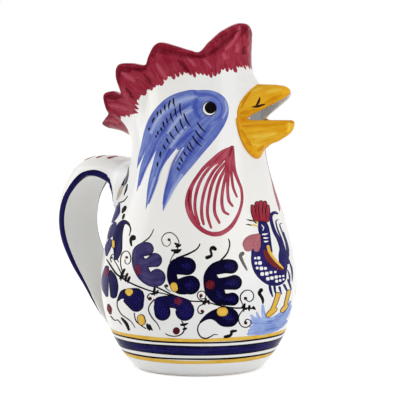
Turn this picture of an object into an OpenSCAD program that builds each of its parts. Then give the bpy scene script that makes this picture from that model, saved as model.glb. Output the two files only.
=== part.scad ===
// Table pitcher shaped as a rooster, in white glazed earthenware.
// The open beak is the spout, the comb is the cut rim round the filling mouth,
// and a broad strap handle stands at the back.
// +X points to the beak, -X to the handle, +Z is up, and the origin is the centre of the foot.

/* [Belly] */
// Diameter of the flat foot
foot_d = 78; // [70:1:86]
// Greatest diameter of the belly
belly_d = 123; // [115:1:130]
// Height of the widest place of the belly
belly_z = 54; // [48:1:60]
// Outside diameter where the head joins the neck
seam_d = 86.8; // [80:0.2:92]
// Height of that seam
seam_z = 128; // [124:1:132]
// Thickness of the clay wall
wall = 5; // [4:0.25:6]
// Thickness of the floor
floor_t = 6; // [4:0.5:8]

/* [Head and comb] */
// Height of the comb's tall front point
comb_z = 215; // [205:1:225]
// Reach of the comb's tail point behind the axis
comb_reach = 73; // [68:1:78]
// Amount by which the cheeks of the head swell below the comb
head_swell = 2.4; // [0:0.2:4]
// Thickness of the comb at its cut edge
comb_t = 3.5; // [2.5:0.25:4.5]

/* [Beak] */
// Reach of the lower beak's tip in front of the axis
beak_reach = 68.5; // [66:0.5:74]
// Amount by which the upper beak stops short of the lower one
beak_step = 2.5; // [1:0.5:4]
// Width of the beak at its root
beak_w = 31; // [26:1:34]
// Height of the corner of the beak's gape
gape_z = 155.5; // [152:0.5:158]
// Height of the upper beak above that corner
upper_beak_h = 23; // [20:0.5:25]
// Depth of the lower beak below that corner
lower_beak_h = 22.5; // [20:0.5:25]
// Gap between the two tips
gape = 14.5; // [10:0.5:18]
// Thickness of the beak's walls
beak_t = 3.4; // [2.5:0.1:4]
// Width of the window in the head that the beak pours through
window_w = 14; // [10:0.5:17]
// Half width of the beak just before its rounded tips
tip_half_w = 3.4; // [2.4:0.1:4.4]

/* [Handle] */
// Reach of the strap's side edges behind the axis
handle_reach = 94; // [90:1:100]
// Height of the strap's side edges at the top of the loop
handle_top_z = 121.5; // [118:0.5:124]
// Height where the strap runs out on the belly
handle_low_z = 20; // [18:0.5:24]
// Width of the strap
handle_w = 37; // [30:1:40]
// Rise of the strap's rounded back above its side edges
handle_crown = 9.5; // [6:0.5:11]
// Depth of the strap's flat inside below its side edges
handle_inset = 2.2; // [1:0.1:3]

/* [Joints] */
// Slip layer left between pieces that are stuck together
slip = 0.15; // [0.05:0.05:0.3]

/* [Hidden] */

foot_r = foot_d / 2;
belly_r = belly_d / 2;
seam_r = seam_d / 2;
neck_rise = seam_z - belly_z;
comb_rise = comb_z - seam_z;
handle_rise = handle_top_z - handle_low_z;

// Shape of the wall from foot to belly: how far the foot spreads and rises, and where the belly fills out
foot_spread_share = 0.47;
foot_rise_share = 0.17;
belly_fill_share = 0.56;
// Shape of the wall from belly to neck
shoulder_share = 0.38;
neck_out_share = 0.29;
neck_up_share = 0.32;

// Half of the comb's cut edge from front to tail: angle, share of comb_reach, share of comb_rise.
// Points and notches follow each other: front point, notch, point, notch and so on.
comb_edge_shares = [
    [0, 0.465, 1.000], [14, 0.464, 0.988], [33, 0.460, 0.932], [47, 0.450, 0.855],
    [56, 0.447, 0.794], [65, 0.458, 0.802], [80, 0.478, 0.832], [97, 0.510, 0.860],
    [104, 0.528, 0.836], [110, 0.538, 0.768], [115, 0.545, 0.707], [124, 0.630, 0.719],
    [133, 0.716, 0.712], [138, 0.728, 0.640], [144, 0.682, 0.510], [149, 0.764, 0.527],
    [154, 0.852, 0.502], [158, 0.850, 0.413], [163, 0.848, 0.364], [170, 0.932, 0.318],
    [175, 1.000, 0.284], [180, 0.985, 0.255]];
// Lean of the rim from upright, at the front, behind the axis and at the tail point
front_lean = 5;
back_lean = 26;
tail_lean = 86;
// Powers by which the lean of the back and of the tail point grow towards the tail
back_power = 2;
tail_power = 12;
// Shares of each upright of the head that its curved ends take, and its upper end at the tail point
upright_share = 0.36;
tail_share = 0.55;
// How far the wall turns square to the clay between seam and rim, and where the cheeks end
square_share = 0.9;
swell_end_share = 0.7;
// Lower edge of the comb from front to tail: angle, share of comb_rise
comb_start_shares = [
    [0, 0.703], [20, 0.686], [30, 0.678], [40, 0.654], [56, 0.648], [75, 0.650], [85, 0.632], [95, 0.600],
    [105, 0.556], [120, 0.518], [128, 0.430], [138, 0.376], [154, 0.368], [160, 0.300], [170, 0.226],
    [180, 0.212]];

// Share of the beak's length along which its halves stay joined, as cheeks
cheek_share = 0.16;
// How late the beak narrows, and the share of its tips that the hollow takes
beak_taper = 1.15;
hollow_tip_share = 0.25;
// Height of each half along the beak: share of its length, share of its height at the root
upper_beak_shares = [
    [0, 1], [0.1, 1.01], [0.3, 0.85], [0.5, 0.69], [0.7, 0.53], [0.85, 0.39], [0.95, 0.30], [1, 0.26]];
lower_beak_shares = [
    [0, 1], [0.1, 1], [0.16, 0.92], [0.21, 0.83], [0.4, 0.67], [0.6, 0.58], [0.78, 0.46], [0.87, 0.385],
    [1, 0.28]];
// Power that draws the root of the upper half to a pointed arch
arch_point = 1.6;
// Where the tips start to round off, and how far their width and their height do so
nose_share = 0.86;
nose_w_share = 0.97;
nose_h_share = 0.75;

// Rows of the head, and those that the window behind the beak takes
window_rows = [1, 5];
head_row_shares = [0, 0.17, 0.30, 0.45, 0.60, 0.76, 1];

// The strap's line at its side edges: share of handle_reach, share of handle_rise
handle_line_shares = [
    [0.515, 0.968], [0.555, 0.978], [0.606, 0.990], [0.734, 1.000], [0.856, 0.975], [0.962, 0.857],
    [1.000, 0.720], [0.989, 0.581], [0.915, 0.433], [0.809, 0.290], [0.734, 0.182], [0.667, 0.094],
    [0.582, 0.000]];
// Shares along that line of the strap's width, of the height of its back and of the depth of its inside,
// which sweeps down the neck at the upper end
handle_w_shares = [1.12, 1.04, 1, 1, 1, 1, 1, 1, 0.98, 0.95, 0.92, 0.90, 0.90];
handle_crown_shares = [1.25, 1.14, 1.14, 1.16, 1.16, 1.02, 0.88, 0.76, 0.68, 0.60, 0.54, 0.42, 0.20];
handle_inset_shares = [11, 7.2, 3.8, 1.4, 1, 1, 1, 1, 0.9, 0.8, 0.7, 0.6, 0.5];

// Powers that square up the strap's flat inside and its side edges
flat_square = 0.5;
edge_square = 0.8;

sides = 144;
wall_steps = 22;
comb_rows = 6;
beak_rows = 12;
beak_sides = 18;
strap_rows_each = 3;
strap_sides = 28;
search_steps = 26;
row_step = 0.01;

function bezier(p, t) =
    p[0] * pow(1 - t, 3) + 3 * p[1] * t * pow(1 - t, 2) + 3 * p[2] * t * t * (1 - t) + p[3] * pow(t, 3);
function bezier_slope(p, t) =
    3 * (p[1] - p[0]) * pow(1 - t, 2) + 6 * (p[2] - p[1]) * t * (1 - t) + 3 * (p[3] - p[2]) * t * t;
function mix(a, b, t) = a + (b - a) * t;
// Place on a rising curve where it reaches height z
function place_at(p, z, low = 0, high = 1, n = search_steps) =
    let (middle = (low + high) / 2)
    n == 0 ? middle
    : bezier(p, middle)[1] < z ? place_at(p, z, middle, high, n - 1)
    : place_at(p, z, low, middle, n - 1);

// Smooth curve through rows of a table, at row position s
function row(table, i) = table[max(0, min(len(table) - 1, i))];
function through(table, s) =
    let (i = min(floor(s), len(table) - 2), t = s - i)
    let (a = row(table, i - 1), b = row(table, i), c = row(table, i + 1), d = row(table, i + 2))
    0.5 * (2 * b + (c - a) * t + (2 * a - 5 * b + 4 * c - d) * t * t + (3 * b - a - 3 * c + d) * pow(t, 3));
// The same curve through a table whose rows start with an angle from the front
function row_at(table, angle, i = 0) =
    angle <= table[i + 1][0] || i == len(table) - 2
    ? i + (angle - table[i][0]) / (table[i + 1][0] - table[i][0])
    : row_at(table, angle, i + 1);
function by_angle(table, angle) = through(table, row_at(table, angle));

// Outside of the pot as radius and height, below and above its widest place
lower_side = [
    [foot_r, 0],
    [mix(foot_r, belly_r, foot_spread_share), belly_z * foot_rise_share],
    [belly_r, belly_z * belly_fill_share],
    [belly_r, belly_z]];
upper_side = [
    [belly_r, belly_z],
    [belly_r, belly_z + neck_rise * shoulder_share],
    [mix(seam_r, belly_r, neck_out_share), seam_z - neck_rise * neck_up_share],
    [seam_r, seam_z]];
function pot_r(z) =
    z < belly_z ? bezier(lower_side, place_at(lower_side, z))[0]
    : bezier(upper_side, place_at(upper_side, min(z, seam_z)))[0];

// One upright of the head and comb, from the seam to the cut edge, at an angle from the front
function folded(angle) = abs(angle) > 180 ? 360 - abs(angle) : abs(angle);
function upright(angle) =
    let (edge = by_angle(comb_edge_shares, folded(angle)))
    let (start = [seam_r, seam_z], end = [edge[1] * comb_reach, seam_z + edge[2] * comb_rise])
    let (back = (1 - cos(angle)) / 2, tail = pow(back, tail_power))
    let (lean = mix(mix(front_lean, back_lean, pow(back, back_power)), tail_lean, tail))
    let (up = upper_side[3] - upper_side[2], length = norm(end - start))
    let (arm = length * mix(upright_share, tail_share, tail))
    [start, start + up / norm(up) * length * upright_share, end - [sin(lean), cos(lean)] * arm, end];
// Place on an upright where the comb starts
function comb_start(curve, angle) =
    place_at(curve, seam_z + comb_rise * by_angle(comb_start_shares, folded(angle))[1]);
// Point of the wall at a depth below its outside. The wall is cut level at the seam and nearly so at the
// rim, and is square to the clay between them. The cheeks swell at the front and sides.
function skin(curve, angle, t, depth) =
    let (slope = bezier_slope(curve, t), square = [slope[1], -slope[0]] / norm(slope))
    let (turned = mix([1, 0], square, square_share * sin(180 * t)))
    let (swell = head_swell * pow(sin(180 * min(1, t / swell_end_share)), 2) * (1 + cos(angle)) / 2)
    bezier(curve, t) + [swell, 0] - turned / norm(turned) * depth;
function clay_t(t) = mix(wall, comb_t, t);
function turn(rz, angle) = [rz[0] * cos(angle), rz[0] * sin(angle), rz[1]];
function front_x(y, z) =
    let (angle = asin(y / seam_r), curve = upright(angle))
    let (r = skin(curve, angle, place_at(curve, z), 0)[0])
    sqrt(r * r - y * y);

// Outside of the pot behind the axis, on the neck or on the head above its seam
function back_r(y, z) =
    let (angle = 180 - asin(abs(y) / seam_r), curve = upright(angle))
    z < seam_z ? pot_r(z) : skin(curve, angle, place_at(curve, z), 0)[0];

// Closed shell from matching outer and inner rows of points. Rows close into rings or stay open,
// and cells listed as open are left out and walled round.
module shell(outer, inner, ring, open_rows = [0, 0], open_half = 0) {
    rows = len(outer);
    count = len(outer[0]);
    cells = ring ? count : count - 1;
    function at(side, j, i) = side * rows * count + j * count + (i + count) % count;
    function is_open(j, i) =
        let (k = (i + count) % count)
        j >= open_rows[0] && j < open_rows[1] && (k < open_half || k >= count - open_half);
    function quad(a, b, c, d) = [[a, b, c], [a, c, d]];
    faces = concat(
        [for (j = [0:rows - 2], i = [0:cells - 1]) if (!is_open(j, i))
            each quad(at(0, j, i), at(0, j + 1, i), at(0, j + 1, i + 1), at(0, j, i + 1))],
        [for (j = [0:rows - 2], i = [0:cells - 1]) if (!is_open(j, i))
            each quad(at(1, j, i), at(1, j, i + 1), at(1, j + 1, i + 1), at(1, j + 1, i))],
        [for (i = [0:cells - 1])
            each quad(at(0, 0, i), at(0, 0, i + 1), at(1, 0, i + 1), at(1, 0, i))],
        [for (i = [0:cells - 1])
            let (j = rows - 1)
            each quad(at(0, j, i), at(1, j, i), at(1, j, i + 1), at(0, j, i + 1))],
        ring ? [] : [for (j = [0:rows - 2])
            each quad(at(0, j, 0), at(1, j, 0), at(1, j + 1, 0), at(0, j + 1, 0))],
        ring ? [] : [for (j = [0:rows - 2], i = [count - 1])
            each quad(at(0, j, i), at(0, j + 1, i), at(1, j + 1, i), at(1, j, i))],
        [for (j = [open_rows[0]:1:open_rows[1] - 1]) let (i = open_half)
            each quad(at(0, j, i), at(1, j, i), at(1, j + 1, i), at(0, j + 1, i))],
        [for (j = [open_rows[0]:1:open_rows[1] - 1]) let (i = -open_half)
            each quad(at(0, j, i), at(0, j + 1, i), at(1, j + 1, i), at(1, j, i))],
        [for (i = [-open_half:1:open_half - 1]) let (j = open_rows[0])
            each quad(at(0, j, i), at(1, j, i), at(1, j, i + 1), at(0, j, i + 1))],
        [for (i = [-open_half:1:open_half - 1]) let (j = open_rows[1])
            each quad(at(0, j, i), at(0, j, i + 1), at(1, j, i + 1), at(1, j, i))]);
    polyhedron([each each outer, each each inner], faces);
}

// Pressed floor with the flat underside that the pitcher stands on
module floor_disc() {
    last = place_at(lower_side, floor_t);
    color("ivory") rotate_extrude($fn = sides)
        polygon([
            [0, 0],
            for (i = [0:wall_steps]) bezier(lower_side, last * i / wall_steps),
            [0, floor_t]]);
}

// Thrown wall of the belly and neck, standing on the floor and open at both ends
module belly_wall() {
    first = place_at(lower_side, floor_t);
    low = [for (i = [0:wall_steps]) bezier(lower_side, mix(first, 1, i / wall_steps))];
    high = [for (i = [1:wall_steps]) bezier(upper_side, i / wall_steps)];
    outside = concat(low, high);
    inside = [for (i = [len(outside) - 1:-1:0]) outside[i] - [wall, 0]];
    color("ivory") rotate_extrude($fn = sides) polygon(concat(outside, inside));
}

// Head with the window that the beak pours through
module head() {
    angles = [for (i = [0:sides - 1]) 360 * i / sides];
    uprights = [for (a = angles) upright(a)];
    ends = [for (i = [0:sides - 1]) comb_start(uprights[i], angles[i])];
    function rows(depth) = [for (share = head_row_shares) [for (i = [0:sides - 1])
        let (t = share * ends[i])
        turn(skin(uprights[i], angles[i], t, depth * clay_t(t)), angles[i])]];
    window_half = round(asin(window_w / 2 / seam_r) * sides / 360);
    color("ivory") shell(rows(0), rows(1), true, window_rows, window_half);
}

// Comb: the flared rim of the mouth, cut into points that step down from front to tail
module comb() {
    angles = [for (i = [0:sides - 1]) 360 * i / sides];
    uprights = [for (a = angles) upright(a)];
    starts = [for (i = [0:sides - 1])
        comb_start(uprights[i], angles[i]) + slip / norm(uprights[i][3] - uprights[i][0])];
    function rows(depth) = [for (j = [0:comb_rows]) [for (i = [0:sides - 1])
        let (t = mix(starts[i], 1, j / comb_rows))
        turn(skin(uprights[i], angles[i], t, depth * clay_t(t)), angles[i])]];
    color("firebrick") shell(rows(0), rows(1), true);
}

// Half of the beak as a tapering shell: the root sits on the head, and the two free edges run to the tip.
// side is 1 for the upper half, which arches over its edges, and -1 for the lower half, which hangs below.
module beak_half(side, tip_x, edge_tip_z, root_h, h_shares) {
    half_w = beak_w / 2;
    edge_root_z = gape_z + side * slip;
    function section(u, round_angle, inset, end_x) =
        let (parted = max(0, (u - cheek_share) / (1 - cheek_share)))
        let (nose = pow(max(0, (u - nose_share) / (1 - nose_share)), 2))
        let (full_half = mix(half_w, tip_half_w, pow(u, beak_taper)) * sqrt(1 - nose_w_share * nose))
        let (full_h = root_h * lookup(u, h_shares) * sqrt(1 - nose_h_share * nose))
        let (half = max(full_half - inset, full_half * hollow_tip_share))
        let (h = max(full_h - inset, full_h * hollow_tip_share))
        let (edge_z = mix(edge_root_z, edge_tip_z, parted))
        let (arch = side > 0 ? arch_point : 1, c = cos(round_angle))
        let (root_y = (half_w - inset) * sign(c) * pow(abs(c), arch))
        let (root_z = edge_root_z + side * (root_h - inset) * sin(round_angle))
        let (x = mix(front_x(root_y, root_z) + slip, end_x, u))
        [x, half * sign(c) * pow(abs(c), mix(arch, 1, u)), edge_z + side * h * sin(round_angle)];
    function rows(inset) = [for (j = [0:beak_rows]) [for (i = [0:beak_sides])
        section(sin(90 * j / beak_rows), 180 * i / beak_sides, inset, tip_x - inset)]];
    if (side > 0) shell(rows(beak_t), rows(0), false);
    else shell(rows(0), rows(beak_t), false);
}

// Upper beak, a thin arch over the pouring channel
module upper_beak() {
    color("orange") beak_half(1, beak_reach - beak_step, gape_z + gape, upper_beak_h, upper_beak_shares);
}

// Lower beak, a thin trough that the pitcher pours from
module lower_beak() {
    color("orange") beak_half(-1, beak_reach, gape_z, lower_beak_h, lower_beak_shares);
}

// Strap handle, flat inside and rounded outside, with both ends stuck to the pot
module handle() {
    last = (len(handle_line_shares) - 1) * strap_rows_each;
    function line(s) =
        let (share = through(handle_line_shares, s))
        [-share[0] * handle_reach, handle_low_z + share[1] * handle_rise];
    function strap_point(s, round_angle) =
        let (ahead = line(min(s + row_step, last / strap_rows_each)), behind = line(max(s - row_step, 0)))
        let (along = (ahead - behind) / norm(ahead - behind), out = [along[1], -along[0]])
        let (c = cos(round_angle), n = sin(round_angle))
        let (depth = n > 0 ? handle_crown * through(handle_crown_shares, s) * n
            : -handle_inset * through(handle_inset_shares, s) * pow(-n, flat_square))
        let (place = line(s) + out * depth)
        let (half_w = handle_w / 2 * through(handle_w_shares, s))
        [place[0], half_w * sign(c) * pow(abs(c), edge_square), place[1]];
    function wall_x(p, rows_off) =
        let (r = back_r(p[1], p[2]) + slip * (1 + rows_off))
        -sqrt(r * r - p[1] * p[1]);
    rings = [for (k = [0:last]) [for (i = [0:strap_sides - 1])
        let (p = strap_point(k / strap_rows_each, 360 * i / strap_sides), rows_off = min(k, last - k))
        let (x = wall_x(p, rows_off))
        [rows_off == 0 ? x : min(x, p[0]), p[1], p[2]]]];
    points = [each each rings];
    function at(k, i) = k * strap_sides + i % strap_sides;
    faces = concat(
        [for (k = [0:last - 1], i = [0:strap_sides - 1])
            each [[at(k, i), at(k, i + 1), at(k + 1, i + 1)], [at(k, i), at(k + 1, i + 1), at(k + 1, i)]]],
        [for (i = [0:strap_sides / 2 - 2])
            each [[at(0, i), at(0, strap_sides - 1 - i), at(0, i + 1)],
                  [at(0, i + 1), at(0, strap_sides - 1 - i), at(0, strap_sides - 2 - i)]]],
        [for (i = [0:strap_sides / 2 - 2])
            each [[at(last, i), at(last, i + 1), at(last, strap_sides - 1 - i)],
                  [at(last, i + 1), at(last, strap_sides - 2 - i), at(last, strap_sides - 1 - i)]]]);
    color("ivory") polyhedron(points, faces);
}

floor_disc();
belly_wall();
head();
comb();
upper_beak();
lower_beak();
handle();
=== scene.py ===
import math

import bmesh
import bpy
import numpy as np
from mathutils import Matrix, Vector
from mathutils.bvhtree import BVHTree


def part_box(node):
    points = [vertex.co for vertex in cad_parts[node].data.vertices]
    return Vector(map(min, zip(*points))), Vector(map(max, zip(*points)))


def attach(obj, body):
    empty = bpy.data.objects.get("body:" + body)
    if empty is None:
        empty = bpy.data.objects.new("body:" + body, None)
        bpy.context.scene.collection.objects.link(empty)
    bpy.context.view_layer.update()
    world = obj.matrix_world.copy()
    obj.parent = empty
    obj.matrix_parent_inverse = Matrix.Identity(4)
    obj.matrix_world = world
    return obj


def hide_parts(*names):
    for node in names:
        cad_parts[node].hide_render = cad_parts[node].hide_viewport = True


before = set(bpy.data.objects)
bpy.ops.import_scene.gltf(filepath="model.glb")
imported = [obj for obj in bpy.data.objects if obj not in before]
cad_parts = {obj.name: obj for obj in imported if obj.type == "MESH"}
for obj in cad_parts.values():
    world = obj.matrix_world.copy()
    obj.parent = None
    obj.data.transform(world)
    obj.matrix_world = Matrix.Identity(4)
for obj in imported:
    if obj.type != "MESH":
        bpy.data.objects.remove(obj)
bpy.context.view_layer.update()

# Floor and foot: a disc of buff clay pressed to close the thrown wall from below.
# The glaze runs round its edge, and the underside is wiped bare, so the pitcher stands
# on a ring of clay round a shallow recess.
floor_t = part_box("floor_disc")[1].z
belly_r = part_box("belly_wall")[1].x
belly_z = 0.054
foot_r = 0.039
foot_round, side_start = 0.0014, 1.2
recess_r, recess = 0.031, 0.0009
hub_r = 0.0004
wiped_low, wiped_high = 0.0003, 0.0006
sides = 288
sharp_edge = math.radians(48)
white_cool, white_warm = (0.78, 0.79, 0.79, 1), (0.84, 0.82, 0.78, 1)
bare_clay, clay_speck = (0.62, 0.42, 0.27, 1), (0.74, 0.55, 0.38, 1)
glaze_gloss = 0.3
wave_scale, peel_scale, patch_scale, speck_scale = 42, 380, 16, 900
wave_strength, wave_depth, peel_share = 0.35, 0.0006, 0.12
foot_spread_share, foot_rise_share, belly_fill_share = 0.47, 0.17, 0.56


def bezier(points, t):
    """Points of a curve with two ends and two handles."""
    a, b, c, d = points
    t = np.asarray(t)[..., None]
    return a * (1 - t) ** 3 + 3 * b * t * (1 - t) ** 2 + 3 * c * t**2 * (1 - t) + d * t**3


def mix(a, b, t):
    return a + (b - a) * t


def grid_faces(rows, columns, ring_rows=True):
    """Faces between rows of points that each close round. The rows may close round too."""
    j, i = np.meshgrid(np.arange(rows if ring_rows else rows - 1), np.arange(columns), indexing="ij")
    j2, i2 = (j + 1) % rows, (i + 1) % columns
    corners = (j * columns + i, j * columns + i2, j2 * columns + i2, j2 * columns + i)
    return np.stack(corners, -1).reshape(-1, 4).tolist()


def lathe(profile):
    """A profile of radius and height, turned round the axis."""
    turns = np.linspace(0, 2 * math.pi, sides, endpoint=False)
    r, z = profile[:, 0, None], profile[:, 1, None]
    return np.stack([r * np.cos(turns), r * np.sin(turns), z + 0 * turns], -1)


def fired(name, points, faces, material, brush=None):
    """An object of these points and faces in one finish, with the brush's marks on its points."""
    mesh = bpy.data.meshes.new(name)
    mesh.from_pydata(points.reshape(-1, 3).tolist(), [], faces)
    if brush is not None:
        mesh.attributes.new("brush", "FLOAT_VECTOR", "POINT").data.foreach_set("vector", brush.ravel())
    clay = bmesh.new()
    clay.from_mesh(mesh)
    loose = [v for v in clay.verts if not v.link_faces]
    bmesh.ops.delete(clay, geom=loose, context="VERTS")
    bmesh.ops.recalc_face_normals(clay, faces=clay.faces)
    clay.to_mesh(mesh)
    clay.free()
    mesh.shade_smooth()
    mesh.set_sharp_from_angle(angle=sharp_edge)
    mesh.materials.append(material)
    made = bpy.data.objects.new(name, mesh)
    bpy.context.scene.collection.objects.link(made)
    return made


def add_node(tree, kind, inputs, **settings):
    """A shader node, with each input set to a value or linked."""
    made = tree.nodes.new("ShaderNode" + kind)
    for key, value in settings.items():
        setattr(made, key, value)
    for key, value in inputs.items():
        if isinstance(value, bpy.types.NodeSocket):
            tree.links.new(value, made.inputs[key])
        else:
            made.inputs[key].default_value = value
    return made


def new_group(name, inputs, outputs):
    """A node group and its sockets, inside."""
    group = bpy.data.node_groups.new(name, "ShaderNodeTree")
    for direction, sockets in (("INPUT", inputs), ("OUTPUT", outputs)):
        for label, kind in sockets.items():
            group.interface.new_socket(label, in_out=direction, socket_type="NodeSocket" + kind)
    return group, group.nodes.new("NodeGroupInput").outputs, group.nodes.new("NodeGroupOutput").inputs


def fill_outputs(group, outputs, **sockets):
    for label, socket in sockets.items():
        group.links.new(socket, outputs[label])


def place_group(tree, group, **inputs):
    made = tree.nodes.new("ShaderNodeGroup")
    made.node_tree = group
    for label, value in inputs.items():
        made.inputs[label].default_value = value
    return made.outputs


# Tin glaze flows a little in the kiln: broad waves, fine orange peel and thin or thick patches
glaze_flow, _, flow_out = new_group(
    "glaze_flow", {}, {"Thick": "Float", "Roughness": "Float", "Height": "Float"})
place = add_node(glaze_flow, "TexCoord", {}).outputs["Object"]
waves = add_node(glaze_flow, "TexNoise", {
    "Vector": place, "Scale": wave_scale, "Detail": 2}).outputs["Fac"]
peel = add_node(glaze_flow, "TexNoise", {
    "Vector": place, "Scale": peel_scale, "Detail": 3}).outputs["Fac"]
patches = add_node(glaze_flow, "TexNoise", {
    "Vector": place, "Scale": patch_scale, "Detail": 4}).outputs["Fac"]
thick = add_node(glaze_flow, "MapRange", {"Value": patches, "From Min": 0.35, "From Max": 0.65})
gloss = add_node(glaze_flow, "MapRange", {"Value": peel, "From Min": 0.3, "From Max": 0.7,
                                          "To Min": 0.1, "To Max": 0.2})
fine = add_node(glaze_flow, "Math", {0: peel, 1: peel_share}, operation="MULTIPLY").outputs[0]
relief = add_node(glaze_flow, "Math", {0: waves, 1: fine}, operation="ADD").outputs[0]
fill_outputs(glaze_flow, flow_out, Thick=thick.outputs[0], Roughness=gloss.outputs[0], Height=relief)


def glazed(name, gloss):
    """A material with the flow of the glaze, still without a colour."""
    material = bpy.data.materials.new(name)
    material.use_nodes = True
    tree = material.node_tree
    shader = tree.nodes["Principled BSDF"]
    shader.inputs["Specular IOR Level"].default_value = gloss
    flow = place_group(tree, glaze_flow)
    bump = add_node(tree, "Bump", {
        "Height": flow["Height"], "Strength": wave_strength, "Distance": wave_depth})
    tree.links.new(flow["Roughness"], shader.inputs["Roughness"])
    tree.links.new(bump.outputs[0], shader.inputs["Normal"])
    return material, tree, shader, flow


def white_glaze(name):
    material, tree, shader, flow = glazed(name, glaze_gloss)
    white = add_node(tree, "MixRGB", {0: flow["Thick"], 1: white_warm, 2: white_cool})
    tree.links.new(white.outputs[0], shader.inputs["Base Color"])
    return material, tree, shader


lower_side = np.array([
    [foot_r, 0], [mix(foot_r, belly_r, foot_spread_share), belly_z * foot_rise_share],
    [belly_r, belly_z * belly_fill_share], [belly_r, belly_z]])


def place_at(curve, z):
    """How far along the curve it reaches the height z, by halving."""
    low, high = np.zeros(np.shape(z)), np.ones(np.shape(z))
    for _ in range(26):
        middle = (low + high) / 2
        below = bezier(curve, middle)[..., 1] < z
        low, high = np.where(below, middle, low), np.where(below, high, middle)
    return (low + high) / 2


edge_turn = np.linspace(-math.pi / 2, 0, 6)
foot_edge = np.stack([foot_r - foot_round * (1 - np.cos(edge_turn)),
                      foot_round * (1 + np.sin(edge_turn))], -1)
side_from, side_to = place_at(lower_side, foot_round * side_start), place_at(lower_side, floor_t)
foot_side = bezier(lower_side, np.linspace(side_from, side_to, 8))
underside = np.array([[hub_r, recess], [recess_r - recess, recess], [recess_r, 0], [recess_r + recess, 0]])
floor_profile = np.vstack([underside, foot_edge, foot_side, [[hub_r, floor_t]]])
floor_faces = grid_faces(len(floor_profile), sides, ring_rows=False)
floor_faces += [list(range(sides)), [(len(floor_profile) - 1) * sides + i for i in range(sides)]]
foot_finish, foot_tree, foot_shader = white_glaze("foot_glaze")
foot_place = add_node(foot_tree, "TexCoord", {}).outputs["Object"]
foot_height = add_node(foot_tree, "SeparateXYZ", {0: foot_place})
wiped = add_node(foot_tree, "MapRange", {
    "Value": foot_height.outputs["Z"], "From Min": wiped_low, "From Max": wiped_high,
    "To Min": 1, "To Max": 0})
clay_specks = add_node(foot_tree, "TexNoise", {"Scale": speck_scale, "Detail": 4})
speckled = add_node(foot_tree, "MixRGB", {0: clay_specks.outputs["Fac"], 1: bare_clay, 2: clay_speck})
glaze_colour = foot_shader.inputs["Base Color"].links[0].from_socket
foot_colour = add_node(foot_tree, "MixRGB", {0: wiped.outputs[0], 1: glaze_colour, 2: speckled.outputs[0]})
foot_tree.links.new(foot_colour.outputs[0], foot_shader.inputs["Base Color"])
floor_disc = fired("floor_disc_glazed", lathe(floor_profile), floor_faces, foot_finish)
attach(floor_disc, "root")
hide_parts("floor_disc")

# Belly and neck: one wall thrown on the wheel, about 5 mm thick, swelling above the foot and
# drawing in towards the head. It is dipped in white tin glaze inside and out.
wall = 0.005
seam_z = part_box("belly_wall")[1].z
seam_r = 0.0434
neck_rise = seam_z - belly_z
shoulder_share, neck_w_share, neck_rise_share = 0.38, 0.29, 0.32
low_rows, high_rows = 46, 66
upper_side = np.array([
    [belly_r, belly_z], [belly_r, belly_z + neck_rise * shoulder_share],
    [mix(seam_r, belly_r, neck_w_share), seam_z - neck_rise * neck_rise_share], [seam_r, seam_z]])
low_wall = bezier(lower_side, np.linspace(place_at(lower_side, floor_t), 1, low_rows))
high_wall = bezier(upper_side, np.linspace(0, 1, high_rows)[1:])
wall_outside = np.vstack([low_wall, high_wall])
wall_profile = np.vstack([wall_outside, wall_outside[::-1] - [wall, 0]])
pot_glaze = white_glaze("pot_glaze")[0]
wall_faces = grid_faces(len(wall_profile), sides)
belly_wall = fired("belly_wall_glazed", lathe(wall_profile), wall_faces, pot_glaze)
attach(belly_wall, "root")
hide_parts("belly_wall")

# Head: the upper section luted to the neck, a little swollen at the cheeks, with an oval window cut
# behind the beak. The forehead is pulled out into a small white brow over the root of the beak.
comb_reach = -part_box("comb")[0].x
comb_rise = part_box("comb")[1].z - seam_z
comb_t = 0.0035
head_swell, swell_end = 0.0024, 0.7
front_lean, back_lean, tail_lean = 5, 26, 86
back_power, tail_power = 2, 12
upright_share, tail_share, square_share = 0.36, 0.55, 0.9
brow_reach, brow_half_w, brow_z, brow_fade = 0.0085, 0.0105, 0.1755, 0.0105
head_rows = 52
window_half, window_low, window_high = 8, 9, 37
window_square = 2.6
# angle from the beak, share of the comb's reach and share of its rise
comb_edge_shares = np.array([
    [0, 0.465, 1.000], [14, 0.464, 0.988], [33, 0.460, 0.932], [47, 0.450, 0.855],
    [56, 0.447, 0.794], [65, 0.458, 0.802], [80, 0.478, 0.832], [97, 0.510, 0.860],
    [104, 0.528, 0.836], [110, 0.538, 0.768], [115, 0.545, 0.707], [124, 0.630, 0.719],
    [133, 0.716, 0.712], [138, 0.728, 0.640], [144, 0.682, 0.510], [149, 0.764, 0.527],
    [154, 0.852, 0.502], [158, 0.850, 0.413], [163, 0.848, 0.364], [170, 0.932, 0.318],
    [175, 1.000, 0.284], [180, 0.985, 0.255]])
# angle from the beak and share of the comb's rise where the comb starts
comb_start_shares = np.array([
    [0, 0.703], [20, 0.686], [30, 0.678], [40, 0.654], [56, 0.648], [75, 0.650], [85, 0.632], [95, 0.600],
    [105, 0.556], [120, 0.518], [128, 0.430], [138, 0.376], [154, 0.368], [160, 0.300], [170, 0.226],
    [180, 0.212]])


def through(table, s):
    """A smooth curve through the rows of a table, at row s."""
    i = np.clip(np.floor(s).astype(int), 0, len(table) - 2)
    t = (s - i)[..., None]
    a, b, c, d = (table[np.clip(i + k, 0, len(table) - 1)] for k in (-1, 0, 1, 2))
    return 0.5 * (2 * b + (c - a) * t + (2 * a - 5 * b + 4 * c - d) * t**2 + (3 * b - a - 3 * c + d) * t**3)


def by_angle(table, angle):
    """The same curve at a value of the first column, alike on both sides of zero."""
    folded = np.abs((np.asarray(angle) + 180) % 360 - 180)
    return through(table, np.interp(folded, table[:, 0], np.arange(len(table))))


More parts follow.
